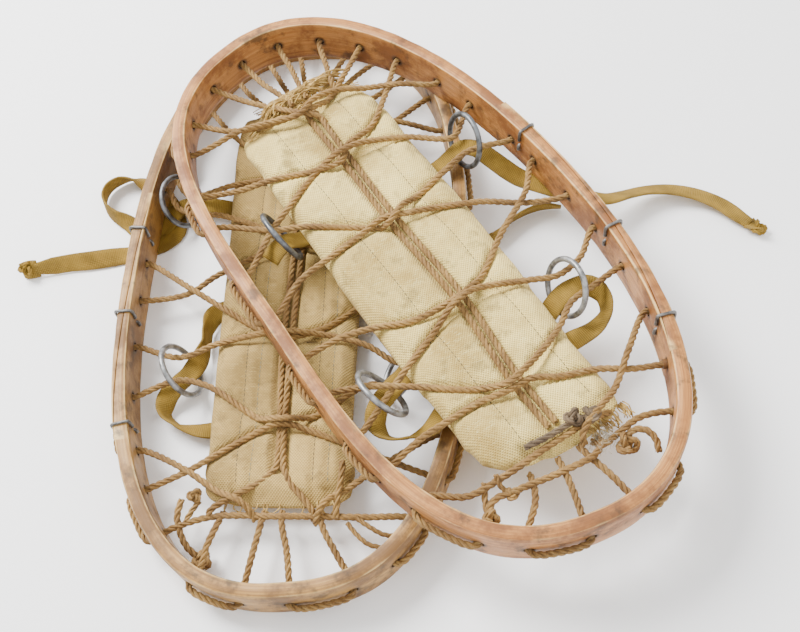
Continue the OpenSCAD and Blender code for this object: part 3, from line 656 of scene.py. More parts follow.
UPPER_NET = (
    ((144, ((-84, 129, 22), (-60, 121, ON_PAD), (-22, 106, ON_PAD), (-4, 99, OVER))),
     (34, ((61, 138, ON_PAD), (35, 118, ON_PAD), (5, 108, OVER))), 0),
    ((168, ((-82, 81, 21.5), (-68, 86, ON_PAD), (-21, 107, ON_PAD), (-5, 104, OVER))),
     (15.5, ((97, 77, 23), (83, 67, 25), (50, 92, ON_PAD), (8, 103, OVER))), 4.4),
    ((154, ((-80, 76, 24), (-62, 66, ON_PAD), (-12, 28, ON_PAD), (-6, 24, OVER))),
     (6, ((98, 46, 22), (84, 49, 23), (58, 44, ON_PAD), (24, 36, ON_PAD), (6, 30, OVER))), 3.6),
    ((178, ((-89, 26, 23), (-60, 29, ON_PAD), (-31, 32, ON_PAD), (-8, 31, OVER))),
     (355.5, ((94, -19, 19.5), (62, 2, ON_PAD), (36, 16, ON_PAD), (6, 25, OVER))), 0),
    ((186, ((-90, -34, 22), (-64, -44, ON_PAD), (-43, -54, ON_PAD), (-6, -61, OVER))),
     (1.5, ((95, -12, 26), (60, -30, ON_PAD), (20, -55, ON_PAD), (5, -60, OVER))), 0),
    ((205, ((-90, -94, 20), (-68, -86, ON_PAD), (-32, -72, ON_PAD), (-8, -65, OVER))),
     (349, ((92, -83, 21), (68, -86, 23), (50, -78, ON_PAD), (5, -64, OVER))), 4),
    ((194.5, ((-90, -84, 24), (-68, -101, ON_PAD), (-32, -129, ON_PAD), (-15, -140, OVER))),
     (341, ((84, -108, 21), (64, -110, 23), (43, -122, ON_PAD), (0, -138, OVER))), 3.8),
    ((215, ((-88, -135, 22), (-63, -136, ON_PAD), (-39, -137, ON_PAD), (-16, -144, OVER))),
     (320, ((66, -178, 20), (44, -165, ON_PAD), (19, -154, ON_PAD), (-2, -145, OVER))), 0))
LOWER_SPOKES = (
    (70, ((34, 206, 21), (26, 188, ON_PAD), (25, 181, 19))), (84, ((18, 214, 21), (11, 190, ON_PAD), (10, 183, 19))),
    (98, ((-9, 216, 21), (-4, 190, ON_PAD), (-4, 183, 19))), (112, ((-30, 210, 21), (-19, 187, ON_PAD), (-18, 181, 19))),
    (260, ((-16, -226, 20), (-12, -205, 20), (-11, -196, 17))), (270, ((8, -226, 20), (3, -206, 20), (2, -196, 17))),
    (284, ((42, -226, 20), (32, -207, 20), (30, -196, 17))), (245, ((-50, -222, 20), (-44, -206, 20), (-41, -196, 17))))
UPPER_SPOKES = (
    (57, ((41, 200, 21), (33, 176, ON_PAD), (31, 169, 19))), (72, ((15, 216, 21), (10, 192, ON_PAD), (8, 178, 24))),
    (86.5, ((-13, 217, 21), (-8, 191, ON_PAD), (-6, 178, 24))),
    (255, ((-48, -214, 19), (-42, -203, 18), (-40, -197, 15))), (269, ((-25, -226, 19), (-20, -209, 18), (-18, -199, 16))),
    (281, ((3, -230, 19), (0, -211, 18), (-1, -200, 16))))
LOWER_CENTRE = ((0, 165, ON_PAD), (0, 30, ON_PAD), (-3, -62, ON_PAD), (-1, -166, ON_PAD))
UPPER_CENTRE = ((2, 160, ON_PAD), (0, 100, ON_PAD), (-2, 28, ON_PAD), (-1, -60, ON_PAD), (-8, -142, ON_PAD),
                (-8, -180, ON_PAD))


def end_at(q, t, points):
    return hole(q, t) + [Vector(p) for p in points]


LOWER_ENDS = [
    hole(LOWER, 56) + [Vector(p) for p in ((62, 187, 24), (30, 168, 24.6), (8, 160, OVER), (-8, 160, OVER),
                                           (-30, 170, 24.6), (-56, 193, 24))] + hole(LOWER, 126)[::-1],
    end_at(LOWER, 31, ((80, 152, 27), (50, 158, ON_PAD), (8, 154, OVER), (-3, 151, OVER), (-9, 147, 25), (-9, 143, 20))),
    hole(LOWER, 230) + [Vector(p) for p in ((-56, -202, 20), (2, -201, 21), (60, -202, 20))] + hole(LOWER, 309)[::-1],
    end_at(LOWER, 209, ((-67, -169, 27), (-47, -182, ON_PAD), (-27, -192, OVER - 2), (-20, -198, 24), (-17, -203, 18))),
    end_at(LOWER, 331, ((70, -169, 27), (47, -184, ON_PAD), (34, -194, OVER - 2), (29, -201, 24), (27, -206, 17)))]
UPPER_ENDS = [
    end_at(UPPER, 98, ((-37, 213, 21), (-19, 184, ON_PAD), (-8, 164, OVER), (-1, 156, OVER), (6, 151, 25), (8, 147, 20))),
    hole(UPPER, 115) + [Vector(p) for p in ((-61, 187, 23), (-45, 176, 24.7), (-12, 162, OVER), (8, 160, OVER),
                                            (20, 164, ON_PAD), (46, 180, 23))] + hole(UPPER, 44.5)[::-1],
    hole(UPPER, 128) + [Vector(p) for p in ((-78, 179, 27), (-60, 177, 30), (-30, 166, OVER + 2), (-8, 158, 34.6), (8, 164, 35),
                                            (28, 164, OVER + 1), (53, 156, ON_PAD), (77, 140, 27))] + hole(UPPER, 23.5)[::-1],
    end_at(UPPER, 226, ((-84, -188, 22), (-60, -191, ON_PAD), (-19, -191, ON_PAD), (22, -193, ON_PAD), (31, -194, 20))),
    end_at(UPPER, 243, ((-72, -200, 21), (-55, -203, 21), (-22, -210, 21), (4, -213, 22), (12, -209, 20), (14, -202, 17))),
    end_at(UPPER, 331.5, ((70, -166, 27), (42, -184, ON_PAD), (26, -190, OVER), (10, -195, OVER), (3, -199, 26), (2, -203, 20))),
    end_at(UPPER, 308.5, ((45, -209, 20), (23, -210, 20), (12, -210, 20), (8, -203, 17)))]

for shoe, q, to_row, holes, net, spokes, ends, centre in (
        ("lower", LOWER, lower, LOWER_HOLES, LOWER_NET, LOWER_SPOKES, LOWER_ENDS, LOWER_CENTRE),
        ("upper", UPPER, upper, UPPER_HOLES, UPPER_NET, UPPER_SPOKES, UPPER_ENDS, UPPER_CENTRE)):
    doubled = [Vector(p) - Vector((3.2, 0, 0)) for p in reversed(centre)]
    tip = Vector(centre[0]) + Vector((0, 3.4, 0))
    parted = [(-12, -174, ON_PAD), (-34, -187, ON_PAD), (-50, -197, 22), (-52, -202, 19)] if shoe == "lower" else []
    ending = [(7, -176, ON_PAD), (18, -189, ON_PAD), (25, -198, 22), (26, -204, 18)] if shoe == "lower" else []
    doubled = [Vector(p) for p in parted[::-1]] + doubled + [tip]
    doubled += [Vector(p) + Vector((3.2, 0, 0)) for p in centre] + [Vector(p) for p in ending]
    for name, lines, nodes in (
            ("_net", [over(q, *cross) for cross in net], ("_left_lacing", "_right_lacing")),
            ("_rim_cords", [outside(q, a, b) for a, b in zip(holes[::2], holes[1::2])], ("_rim_lacing",)),
            ("_spokes", [end_at(q, *spoke) for spoke in spokes], ("_toe_spokes", "_heel_spokes")),
            ("_end_cords", ends, ("_toe_end_cords", "_heel_end_cords")),
            ("_centre_pair", [doubled], ("_centre_cord",))):
        cords = lay_cord(shoe + name, lines, brown_cord, CORD_D, to_row)
        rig.ride(cords, shoe + "_shoe")
        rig.replaces(cords, *(shoe + node for node in nodes))

# ---- Knots, stub ends and the tarred cord ----
# The lacing is finished in small overhand knots beside the strip and at the pad's ends. A
# black tarred cord binds the upper pad's heel, and a short end stands up from the lower pad.
for shoe, to_row, lines, name, d, material in (
        ("upper", upper, ([(-71, -187, 24), (-74, -192, 20), (-78, -199, 19), (-80, -203, 19)],
                          knot_line((-80, -208, 19.5), 4.6, 0.3, 0.6)), "_side_stub", 5.5, brown_cord),
        ("upper", upper, ([(-62, -188, 28), (-63, -194, 24), (-62, -199, 21)],
                          knot_line((-59, -203, 20), 3.8, 1.2, 0.4)), "_heel_stub", 4.6, brown_cord),
        ("upper", upper, ([(-34, -183, 26), (-19, -186, 27.5), (-5, -187, 28), (7, -188, 28.5), (18, -192, 27)],
                          knot_line((5, -186, 31), 5.2, 0.2, 0.5), knot_line((17, -191, 30), 5.4, 1.4, 0.3)),
         "_tarred_cord", 5.6, tarred_cord),
        ("lower", lower, ([(42, -203, 22), (43, -192, 26), (45, -180, 28), (46, -169, 29.5), (46, -163, 30)],),
         "_standing_end", 6, brown_cord),
        ("lower", lower, ([(57, -203, 21), (66, -209, 20), (76, -214, 18), (84, -215, 17)],
                          [(50, -206, 20), (58, -215, 18), (66, -221, 17), (75, -223, 16)],
                          knot_line((88, -214, 17.5), 3.9, 0.9, 0.4)), "_heel_stub", 4.4, brown_cord),
        ("lower", lower, ([(-58, -190, 24), (-64, -198, 22), (-68, -205, 20)],
                          knot_line((-61, -187, 27), 4.2, 0.5, 0.5)), "_side_stub", 5, brown_cord)):
    piece = lay_cord(shoe + name, lines, material, d, to_row, d * 3.4)
    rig.ride(piece, shoe + "_shoe")

# ---- The foot pads ----
# Each pad is a plain canvas bag stuffed with straw, twelve millimetres thick. The cords press
# into it, two rows of stitching run along each side, and its ends are gathered and bound.
LOWER_PAD = ((-56, 176), (-64, 150), (-66, 117), (-65, -5), (-62, -130), (-58, -176), (-50, -193),
             (0, -196), (46, -193), (55, -176), (53, -110), (57, 0), (59, 110), (57, 150), (50, 174), (0, 186))
UPPER_PAD = ((-54, 182), (-63, 160), (-66, 128), (-69, 55), (-70, -29), (-70, -92), (-68, -150), (-60, -182),
             (-30, -197), (0, -203), (36, -198), (43, -184), (46, -165), (52, -99), (57, -28), (58, 26), (59, 101),
             (58, 140), (50, 168), (0, 190))


def canvas_finish(name, shade, light, pale, grime):
    made = Finish(name, Roughness=0.9, Specular_IOR_Level=0.25, Sheen_Weight=0.08, Sheen_Roughness=0.6)
    spot = made.node("ShaderNodeAttribute", {"attribute_name": "weave"}, None, 1)
    parts = made.node("ShaderNodeSeparateXYZ", None, {0: spot})
    x, y = parts, Value(made, parts.socket.node.outputs[1])
    row = made.node("ShaderNodeMath", {"operation": "SINE"}, {0: y * 2.5})
    pick = made.node("ShaderNodeMath", {"operation": "SINE"}, {0: x * 2.9})
    rib = made.node("ShaderNodeMath", {"operation": "SINE"}, {0: y * 5})
    knit = row * pick * 0.75 + rib * 0.3
    slub = made.noise(spot, 0.9, 3, 0.6, (0.15, 1, 1))
    patch = made.noise(spot, 0.022, 6, 0.6)
    stain = made.noise(spot, 0.045, 5, 0.65)
    speck = made.noise(spot, 0.35, 4, 0.7)
    colour = made.mix(made.between(patch, 0.3, 0.68), shade, light)
    colour = made.mix(made.between(slub, 0.5, 0.78, 0.0, 0.5), colour, pale)
    colour = made.mix(made.between(knit, 0.35, -0.65, 0.0, 0.68), colour, shade)
    colour = made.mix(made.between(stain, 0.50, 0.68, 0.0, 0.66), colour, grime)
    colour = made.mix(made.between(speck, 0.58, 0.74, 0.0, 0.45), colour, grime)
    made.finish(colour, None, knit * 0.8 + slub * 0.5, 0.8, 0.0005)
    return made.material


lower_canvas = canvas_finish("lower_canvas", (0.25, 0.160, 0.044), (0.62, 0.42, 0.130), (0.76, 0.56, 0.22), (0.13, 0.078, 0.022))
upper_canvas = canvas_finish("upper_canvas", (0.40, 0.265, 0.065), (0.99, 0.78, 0.260), (1.0, 0.93, 0.44), (0.20, 0.130, 0.034))


def softened(points, times):
    for _ in range(times):
        points = [v for a, b in zip(points, points[1:] + points[:1]) for v in (a * 0.75 + b * 0.25, a * 0.25 + b * 0.75)]
    return points


def near(value, width):
    return math.exp(-(value / width) ** 2)


def pad(name, points, middle, cords, seams, material, to_row, seed):
    slab = [Vector((x + math.copysign(2.5, x - middle), y + math.copysign(2, y), 11)) for x, y in points]
    bm = bmesh.new()
    face = bm.faces.new([bm.verts.new(p * MM) for p in softened(slab, 1)])
    grown = bmesh.ops.extrude_face_region(bm, geom=[face])["geom"]
    bmesh.ops.translate(bm, vec=(0, 0, 8 * MM), verts=[v for v in grown if isinstance(v, bmesh.types.BMVert)])
    bmesh.ops.recalc_face_normals(bm, faces=bm.faces)
    made = place(bm, name, material)
    net = made.modifiers.new("voxels", "REMESH")
    net.mode, net.voxel_size = "VOXEL", 0.004
    mesh = bpy.data.meshes.new_from_object(made.evaluated_get(bpy.context.evaluated_depsgraph_get()))
    made.modifiers.clear()
    made.data = mesh
    start = [v.co.copy() for v in mesh.vertices]
    swollen = [v.copy() for v in start]
    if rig.quick():
        for k, v in enumerate(mesh.vertices):
            swollen[k] = start[k] + v.normal * 0.003
    else:
        cloth = made.modifiers.new("stuffing", "CLOTH")
        cloth.settings.use_pressure = True
        cloth.settings.uniform_pressure_force = 4
        cloth.settings.effector_weights.gravity = 0
        for moment in range(1, 21):
            scene.frame_set(moment)
        puffed = made.evaluated_get(bpy.context.evaluated_depsgraph_get()).data
        for k, v in enumerate(puffed.vertices):
            move = v.co - start[k]
            swollen[k] = start[k] + move * min(1.0, 0.006 / max(move.length, 1e-6))
        made.modifiers.clear()
        scene.frame_set(1)
    for v, p in zip(mesh.vertices, swollen):
        v.co = p
    smooth = made.modifiers.new("smooth", "SUBSURF")
    smooth.levels = smooth.render_levels = 1
    mesh = bpy.data.meshes.new_from_object(made.evaluated_get(bpy.context.evaluated_depsgraph_get()))
    made.modifiers.clear()
    made.data = mesh
    marks = KDTree(len(cords))
    for k, p in enumerate(cords):
        marks.insert((p.x, p.y, 0), k)
    marks.balance()
    low, high = min(v.co.y for v in mesh.vertices) / MM, max(v.co.y for v in mesh.vertices) / MM
    for v in mesh.vertices:
        x, y, z = v.co / MM
        edge_pinch = 0.62 * near(high - y, 14) + 0.5 * near(y - low, 12)
        z = 15 + (z - 15) * (1 - edge_pinch)
        gap = marks.find((x, y, 0))[2]
        rough = noise.noise(Vector((x / 26, y / 34, seed)))
        if z > 14:
            crown = 1 - near(gap, 13)
            share = min(1.0, (z - 14) / 4)
            z += share * (2.4 * crown + 0.9 * rough)
            z -= share * 1.2 * sum(near(x - s, 2.6) for s in seams)
            if gap < 4.5:
                z = min(z, 21.2 + 0.10 * gap * gap)
        else:
            z = max(z, 9.0)
        z += 0.5 * noise.noise(Vector((x / 9, y / 7, seed + 5))) * edge_pinch
        v.co = Vector((x, y, z)) * MM
    layer = mesh.attributes.new("weave", "FLOAT_VECTOR", "POINT")
    for v in mesh.vertices:
        layer.data[v.index].vector = v.co / MM
    tree = BVHTree.FromPolygons([v.co / MM for v in mesh.vertices], [tuple(f.vertices) for f in mesh.polygons])
    for v in mesh.vertices:
        v.co = to_row(v.co / MM)
    mesh.polygons.foreach_set("use_smooth", [True] * len(mesh.polygons))
    mesh.update()
    return made, tree


def surface(tree, x, y):
    """The height of a pad's top at a place on it."""
    found = tree.ray_cast(Vector((x, y, 60)), Vector((0, 0, -1)))
    return found[0].z if found[0] else None


def thread(name, lines, radius, material, to_row, sides=0):
    """Thin round threads or wires, one along each line."""
    curve = bpy.data.curves.new(name, "CURVE")
    curve.dimensions, curve.bevel_resolution, curve.use_fill_caps = "3D", sides, True
    curve.bevel_depth = radius * MM
    for line in lines:
        spline = curve.splines.new("POLY")
        spline.points.add(len(line) - 1)
        for point, p in zip(spline.points, line):
            point.co = (*to_row(Vector(p)), 1)
    maker = bpy.data.objects.new(name + "_line", curve)
    scene.collection.objects.link(maker)
    mesh = bpy.data.meshes.new_from_object(maker.evaluated_get(bpy.context.evaluated_depsgraph_get()))
    bpy.data.objects.remove(maker)
    made = bpy.data.objects.new(name, mesh)
    scene.collection.objects.link(made)
    mesh.materials.clear()
    mesh.materials.append(material)
    mesh.polygons.foreach_set("use_smooth", [True] * len(mesh.polygons))
    return made


def thread_finish(name, dark, light, scale):
    made = Finish(name, Roughness=0.85)
    where = made.node("ShaderNodeTexCoord", None, None, 3)
    colour = made.mix(made.between(made.noise(where, scale, 4), 0.35, 0.65), dark, light)
    made.finish(colour, None, made.noise(where, scale * 12, 2), 0.4, 0.0002)
    return made.material


black_thread = thread_finish("black_thread", (0.025, 0.025, 0.024), (0.075, 0.07, 0.062), 200)
green_thread = thread_finish("green_thread", (0.10, 0.115, 0.085), (0.20, 0.21, 0.16), 200)
straw = thread_finish("straw", (0.27, 0.155, 0.035), (0.66, 0.45, 0.145), 160)
lint = thread_finish("lint", (0.30, 0.25, 0.16), (0.55, 0.50, 0.38), 120)

for shoe, points, middle, net, centre, seams, material, to_row, seed in (
        ("lower", LOWER_PAD, -4, LOWER_NET, LOWER_CENTRE, (-33, -22, 24, 35), lower_canvas, lower, 3),
        ("upper", UPPER_PAD, -6, UPPER_NET, UPPER_CENTRE, (-32, 27), upper_canvas, upper, 8)):
    q = LOWER if shoe == "lower" else UPPER
    crossing = [p for cross in net for p in flow(over(q, *cross), 2)] + [
        Vector((p.x + side, p.y, p.z)) for p in flow(centre, 2) for side in (-3.2, 3.2)]
    crossing += [p for line in (LOWER_ENDS if shoe == "lower" else UPPER_ENDS) for p in flow(line, 2)]
    cover, tree = pad(shoe + "_pad", points, middle, crossing, seams, material, to_row, seed)
    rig.ride(cover, shoe + "_shoe")
    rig.slot(cover, "canvas")
    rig.replaces(cover, shoe + "_pad_cover", shoe + "_pad_filling")
    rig.padded(cover, 0.7)
    chance = random.Random(seed)
    for colour, rows in ((black_thread, seams[::2]), (green_thread if shoe == "lower" else black_thread, seams[1::2])):
        stitches = []
        for x in rows:
            y = -176.0
            while y < 172:
                wander = x + 0.7 * noise.noise(Vector((y / 40, x, seed)))
                ends = [(wander, y + s * 3.1) for s in (0, 0.3, 0.7, 1)]
                tops = [surface(tree, *p) for p in ends]
                if None not in tops:
                    stitches.append([(px, py, top + up) for (px, py), top, up in zip(ends, tops, (-0.25, 0.14, 0.14, -0.25))])
                y += 3.8
        piece = thread(shoe + "_stitches_" + ("a" if rows == seams[::2] else "b"), stitches, 0.24, colour, to_row)
        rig.ride(piece, shoe + "_shoe")
    # loose straw stands out of the toe end, and threads out of the heel end
    fibres = []
    for _ in range(150 if shoe == "upper" else 90):
        x = chance.uniform(-46, 44) if shoe == "upper" else chance.uniform(-44, 44)
        y = 177 - (x / 60) ** 2 * 10 + chance.uniform(-4, 8)
        top = surface(tree, x, min(y, 180)) or 17
        drift, reach = chance.uniform(-1, 1), chance.uniform(10, 26)
        fibres.append([(x - reach / 2, y + chance.uniform(-3, 3), min(top, 20) - 1.2),
                       (x - reach / 5, y + chance.uniform(-1, 3), min(top, 20) + chance.uniform(0.4, 2.4)),
                       (x + reach / 4, y + chance.uniform(-1, 4), min(top, 20) + chance.uniform(0.2, 2.6)),
                       (x + reach / 2, y + drift * 6, min(top, 20) + chance.uniform(-1.5, 2))])
    for _ in range(230 if shoe == "upper" else 0):
        start, reach = chance.uniform(-34, 18), chance.uniform(16, 36)
        y, z, bow = chance.gauss(186, 1.9), chance.gauss(23.6, 1.5), chance.gauss(2.6, 1.2)
        fibres.append([(start, y - 3 + chance.gauss(0, 1), z - 2.5), (start + reach * 0.3, y + bow * 0.6, z + 0.9),
                       (start + reach * 0.7, y + bow * 0.4, z + 0.6), (start + reach, y - 2.4 + chance.gauss(0, 1.6), z - 1.5)])
    for _ in range(44 if shoe == "upper" else 16):
        x = chance.uniform(8, 46) if shoe == "upper" else chance.uniform(-46, 48)
        y = -197 if shoe == "upper" else -193
        fibres.append([(x, y + 5, 18), (x + chance.uniform(-2, 2), y - 1, 19 + chance.uniform(-1, 2)),
                       (x + chance.uniform(-4, 5), y - chance.uniform(3, 9), 17 + chance.uniform(-4, 4))])
    piece = thread(shoe + "_straw", [flow(line, 4) for line in fibres], 0.5, straw, to_row)
    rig.ride(piece, shoe + "_shoe")
    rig.slot(piece, "pad_wadding")
    if shoe == "upper":
        fluff = []
        for _ in range(110):
            start = Vector((14 + chance.gauss(0, 5), -206 + chance.gauss(0, 3), 20 + chance.gauss(0, 2)))
            swing = Vector((chance.gauss(0, 4), chance.gauss(-1, 4), chance.gauss(0, 2.5)))
            turn = Vector((chance.gauss(0, 3), chance.gauss(0, 3), chance.gauss(0, 2)))
            fluff.append([start, start + swing * 0.5 + turn, start + swing])
        piece = thread("upper_lint", [flow(line, 2) for line in fluff], 0.09, lint, to_row)
        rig.ride(piece, "upper_shoe")
        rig.slot(piece, "pad_wadding")

# ---- The wooden strips ----
# Each hoop is one strip of ash, steamed and bent round until its two thinned ends lie side
# by side. Its corners are eased and rubbed pale, and the lacing holes are drilled level.
def wood_finish(name, deep, middle, light, pale, grime):
    made = Finish(name, Coat_Roughness=0.35, Specular_IOR_Level=0.4)
    spot = made.node("ShaderNodeAttribute", {"attribute_name": "grain"}, None, 1)
    parts = made.node("ShaderNodeSeparateXYZ", None, {0: spot})
    wear = made.node("ShaderNodeAttribute", {"attribute_name": "wear"}, None, 2)
    # the grime attribute marks each hole mouth: cord dirt on the faces round it, and painted shade on the hole wall
    # inside
    hole_dirt_and_shade = made.node("ShaderNodeAttribute", {"attribute_name": "grime"}, None, 2)
    where = made.node("ShaderNodeTexCoord", None, None, 3)
    depth, height = Value(made, parts.socket.node.outputs[1]), Value(made, parts.socket.node.outputs[2])
    streak = made.noise(spot, 1.0, 6, 0.62, (0.012, 0.55, 0.38))
    fibre = made.noise(spot, 1.0, 5, 0.7, (0.05, 3.2, 2.6))
    bands = made.node("ShaderNodeMath", {"operation": "SINE"}, {0: depth * 3.1 + streak * 9 + height * 0.12})
    blotch = made.noise(where, 20, 6, 0.68)
    patch = made.noise(where, 55, 5, 0.65)
    colour = made.mix(made.between(streak, 0.3, 0.7), middle, light)
    colour = made.mix(made.between(blotch, 0.42, 0.60, 0.0, 0.9), colour, deep)
    colour = made.mix(made.between(bands, 0.2, 1.0, 0.0, 0.3), colour, deep)
    colour = made.mix(made.between(fibre, 0.48, 0.66, 0.0, 0.6), colour, deep)
    colour = made.mix(made.between(wear + patch * 0.9, 0.92, 1.35, 0.0, 0.85), colour, pale)
    colour = made.mix(made.between(patch, 0.52, 0.68, 0.0, 0.75), colour, grime)
    # round the holes the grime colour gives dirt on the faces and painted shade inside the holes
    colour = made.mix(made.between(hole_dirt_and_shade + patch * 0.4, 0.55, 1.2, 0.0, 0.85), colour, grime)
    rough = made.between(blotch + patch * 0.4, 0.4, 0.9, 0.36, 0.62)
    made.finish(colour, rough, fibre * 0.6 + bands * 0.15 + patch * 0.3, 0.35, 0.0005)
    return made.material


lower_wood = wood_finish("lower_ash", (0.15, 0.070, 0.018), (0.33, 0.165, 0.040), (0.49, 0.27, 0.072), (0.70, 0.48, 0.19),
                         (0.060, 0.034, 0.014))
upper_wood = wood_finish("upper_ash", (0.19, 0.066, 0.016), (0.40, 0.160, 0.038), (0.57, 0.26, 0.070), (0.76, 0.49, 0.19),
                         (0.065, 0.034, 0.014))


def strip(name, q, lap, holes, material, to_row, seed):
    way = math.copysign(1, lap[1] - lap[0])
    joint = abs(lap[1] - lap[0])
    total = 360 + joint
    stops, last = [0.0], outline(q, lap[0])
    for k in range(1, round(total * 10)):
        p = outline(q, lap[0] + way * k / 10)
        if (p - last).length > 2.3:
            stops.append(k / 10)
            last = p
    stops.append(total)
    heights = (6, 10.5, 14, 17, 20, 23, 26, 29.5, 34)
    eased = ((0, 1), (0.29, 0.29), (1, 0))
    profile = [(0, o, 0, u) for o, u in eased[::-1]] + [(0, 0, z, 0) for z in heights]
    profile += [(0, o, 40, -u) for o, u in eased] + [(1, o, 40, -u) for o, u in eased[::-1]]
    profile += [(1, 0, z, 0) for z in heights[::-1]] + [(1, o, 0, u) for o, u in eased]
    frames = []
    for run in stops:
        t = lap[0] + way * run
        d0 = 0.0 if run <= 360 else min(10.3, WALL * (run - 360) / joint + 0.2)
        d1 = WALL if run >= joint else max(0.7, WALL * run / joint - 0.2)
        p = outline(q, t)
        ease = min(2.1, (d1 - d0) * 0.4) * (1 + 0.45 * noise.noise(p / 17))
        corners = (0.4 if run > 360 else ease, 0.4 if run < joint else ease)

        def f(face, o, z, u, t=t, d0=d0, d1=d1, p=p, corners=corners):
            swell = 0.22 * noise.noise(Vector((p.x / 30, p.y / 30, z / 22 + seed)))
            r = corners[face] * (1.35 if face == 0 and z == 40 else 1)
            return to_row(edge(q, t, (d1 - o * r if face else d0 + o * r) + swell, z + u * r))
        frames.append(f)
    bm = drawn(profile, frames)
    made = place(bm, name, material)
    bm = bmesh.new()
    for t in holes:
        a, b = to_row(edge(q, t, -3, HOLE_Z)), to_row(edge(q, t, WALL + 3, HOLE_Z))
        turned = Matrix.Translation((a + b) / 2) @ (b - a).to_track_quat("Z", "Y").to_matrix().to_4x4()
        bmesh.ops.create_cone(bm, cap_ends=True, segments=20, radius1=3.7 * MM, radius2=3.7 * MM,
                              depth=(b - a).length, matrix=turned)
    drill = place(bm, name + "_drill", material)
    cut = made.modifiers.new("holes", "BOOLEAN")
    cut.operation, cut.solver, cut.object = "DIFFERENCE", "EXACT", drill
    mesh = bpy.data.meshes.new_from_object(made.evaluated_get(bpy.context.evaluated_depsgraph_get()))
    made.modifiers.clear()
    made.data = mesh
    bpy.data.objects.remove(drill)
    fine = [k / 4 for k in range(1440)]
    track = KDTree(len(fine))
    run, spots, last = [], [], None
    total_run = 0.0
    for k, t in enumerate(fine):
        p = to_row(edge(q, t, 5.5, 0))
        total_run += (p - last).length / MM if last else 0
        last = p
        run.append(total_run)
        spots.append(p)
        track.insert(p, k)
    track.balance()
    mouths = KDTree(len(holes) * 2)
    for k, t in enumerate(holes):
        mouths.insert(to_row(edge(q, t, 0, HOLE_Z)), 2 * k)
        mouths.insert(to_row(edge(q, t, WALL, HOLE_Z)), 2 * k + 1)
    mouths.balance()
    floor_z = to_row((0, 0, 0)).z
    grain, wear, grime = [], [], []
    for v in mesh.vertices:
        z = (v.co.z - floor_z) / MM
        p, k, gap = track.find(Vector((v.co.x, v.co.y, floor_z)))
        ahead = (spots[(k + 1) % 1440] - spots[k - 1]).normalized()
        off = Vector((v.co.x, v.co.y, floor_z)) - p
        depth = off.dot(Vector((0, 0, 1)).cross(ahead)) / MM
        grain += (run[k] + off.dot(ahead) / MM, depth + seed * 7, z)
        wear.append(max(near(z - 40, 1.6), near(z, 1.6)) * near(5.5 - abs(depth), 2.2))
        # darkening round each hole mouth: cord dirt on the strip's faces and painted shade on the hole walls
        grime.append(near(mouths.find(v.co)[2] / MM - 3.5, 3.2))
    for label, kind, values, field in (("grain", "FLOAT_VECTOR", grain, "vector"), ("wear", "FLOAT", wear, "value"),
                                       ("grime", "FLOAT", grime, "value")):
        mesh.attributes.new(label, kind, "POINT").data.foreach_set(field, values)
    mesh.polygons.foreach_set("use_smooth", [True] * len(mesh.polygons))
    mesh.set_sharp_from_angle(angle=math.radians(38))
    return made


lower_strip = strip("lower_hoop", LOWER, (208, 168), LOWER_HOLES, lower_wood, lower, 1)
upper_strip = strip("upper_hoop", UPPER, (9.5, -40), UPPER_HOLES, upper_wood, upper, 2)
for shoe, piece in (("lower", lower_strip), ("upper", upper_strip)):
    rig.ride(piece, shoe + "_shoe")
    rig.replaces(piece, shoe + "_rim")
    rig.slot(piece, shoe + "_wood")

# ---- The wire staples on the joints ----
# Three staples of dull wire straddle each joint. Each lies over the strip's upper edge with a
# leg on either face, and the far end of the wire is clenched lower down on the inner face.
def steel_finish(name, dark, light, rust, metal):
    made = Finish(name, Metallic=metal)
    where = made.node("ShaderNodeTexCoord", None, None, 3)
    cloud = made.noise(where, 160, 5, 0.6)
    spot = made.noise(where, 420, 4, 0.7)
    colour = made.mix(made.between(cloud, 0.35, 0.65), dark, light)
    colour = made.mix(made.between(spot, 0.6, 0.75, 0.0, 0.6), colour, rust)
    made.finish(colour, made.between(cloud, 0.3, 0.7, 0.34, 0.6), spot, 0.3, 0.0003)
    return made.material


staple_wire = steel_finish("staple_wire", (0.085, 0.08, 0.075), (0.22, 0.215, 0.205), (0.09, 0.06, 0.04), 0.6)
for shoe, q, to_row, at in (("lower", LOWER, lower, (174.5, 185.2, 205)), ("upper", UPPER, upper, (4, -14, -32.5))):
    wires = []
    for k, t in enumerate(at):
        slant = 0.25 * (k - 1)

        def at_depth(depth, z, t=t, slant=slant):
            return edge(q, t + slant * (z - 40) / 20, depth, z)
        top = 41.0
        wires.append(flow([at_depth(1.5, 27.5), at_depth(-0.8, 28.5), at_depth(-0.95, 33), at_depth(-0.95, 38.5), at_depth(-0.4, 40.4),
                           at_depth(1.2, top), at_depth(5.5, top), at_depth(9.8, top), at_depth(11.6, 40.6),
                           at_depth(12.25, 38.5), at_depth(12.25, 33), at_depth(12.1, 29.5), at_depth(9.6, 28.6)], 0.8))
        wires.append(flow([at_depth(9.4, 23.6), at_depth(12.0, 22.6), at_depth(12.3, 20), at_depth(12.2, 17.6), at_depth(11.2, 16.6)], 0.8))
    piece = thread(shoe + "_staples", wires, 1.2, staple_wire, to_row, 2)
    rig.ride(piece, shoe + "_shoe")
    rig.slot(piece, "staple_wire")
    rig.replaces(piece, shoe + "_rim_staples")

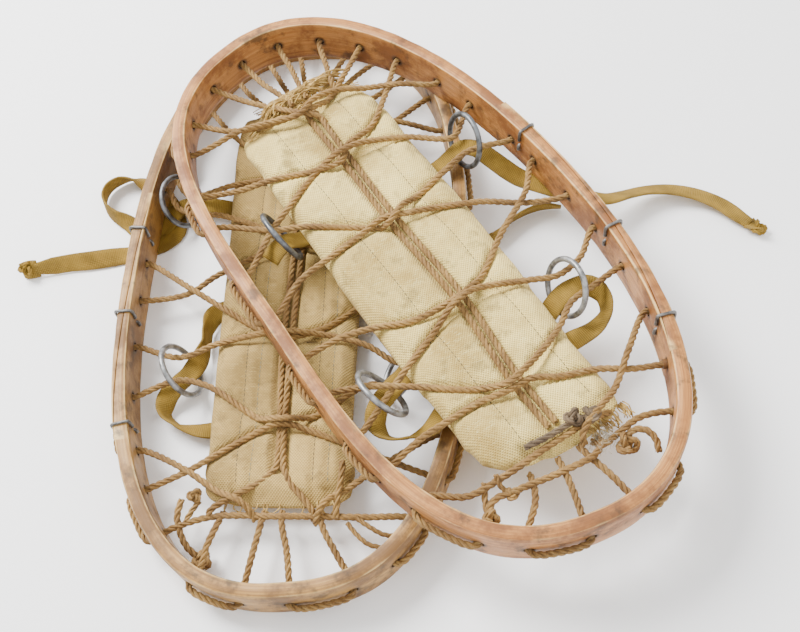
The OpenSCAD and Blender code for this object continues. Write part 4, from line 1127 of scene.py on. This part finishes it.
# ---- The loose steel rings ----
# Four rings of galvanised wire hang on the cords of each shoe, and the ties pass through
# them. Each is one piece of round wire, butted and welded, dull grey with darker spots.
ring_steel = steel_finish("ring_steel", (0.17, 0.172, 0.17), (0.38, 0.38, 0.375), (0.10, 0.085, 0.07), 0.75)
dark_steel = steel_finish("dark_ring_steel", (0.085, 0.09, 0.095), (0.20, 0.21, 0.22), (0.08, 0.07, 0.06), 0.75)
for shoe, to_row, rings in (
        ("lower", lower, (("toe_left", -105, 80, 21, 80, 55), ("toe_right", 90, 75, 21, 95, -52),
                          ("heel_left", -85, -83, 22.5, 108, 62), ("heel_right", 86, -88, 21, 78, -52))),
        ("upper", upper, (("toe_left", -80, 70, 22, 90, 70), ("toe_right", 87, 59, 24.2, 85, -72),
                          ("heel_left", -90, -90, 22, 95, 58), ("heel_right", 68, -98, 22, 82, -65)))):
    for name, x, y, z, heading, lean in rings:
        bm = bmesh.new()
        made = bmesh.ops.create_circle(bm, segments=16, radius=2.25,
                                       matrix=Matrix.Translation((21.5, 0, 0)) @ Matrix.Rotation(math.pi / 2, 4, "X"))
        bmesh.ops.spin(bm, geom=list(bm.verts) + list(bm.edges), cent=(0, 0, 0), axis=(0, 0, 1),
                       angle=math.tau, steps=80, use_merge=True, use_duplicate=False)
        bmesh.ops.remove_doubles(bm, verts=bm.verts, dist=0.001)
        bmesh.ops.recalc_face_normals(bm, faces=bm.faces)
        turned = Matrix.Translation((x, y, z)) @ Matrix.Rotation(math.radians(heading), 4, "Z") @ Matrix.Rotation(math.radians(lean), 4, "X")
        for v in bm.verts:
            angle = math.atan2(v.co.y, v.co.x)
            centre = Vector((math.cos(angle), math.sin(angle), 0)) * 21.5
            weld = 1 + 0.13 * near(angle - 2.2, 0.07) - 0.05 * near(angle - 2.2, 0.02) + 0.03 * noise.noise(v.co / 5 + Vector((x, y, 0)))
            v.co = to_row(turned @ (centre + (v.co - centre) * weld))
        piece = place(bm, shoe + "_wire_ring_" + name, ring_steel if name.startswith("heel") or (shoe, name) == ("lower", "toe_right") else dark_steel)
        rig.ride(piece, f"{shoe}_ring_{name}_body")
        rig.slot(piece, "ring_steel")
        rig.replaces(piece, f"{shoe}_ring_{name}")

size = {"cad": [list(v) for v in cad_box], "visual": [list(v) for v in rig.bounds()]}
with open("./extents.json", "w") as f:
    json.dump(size, f, indent=1)
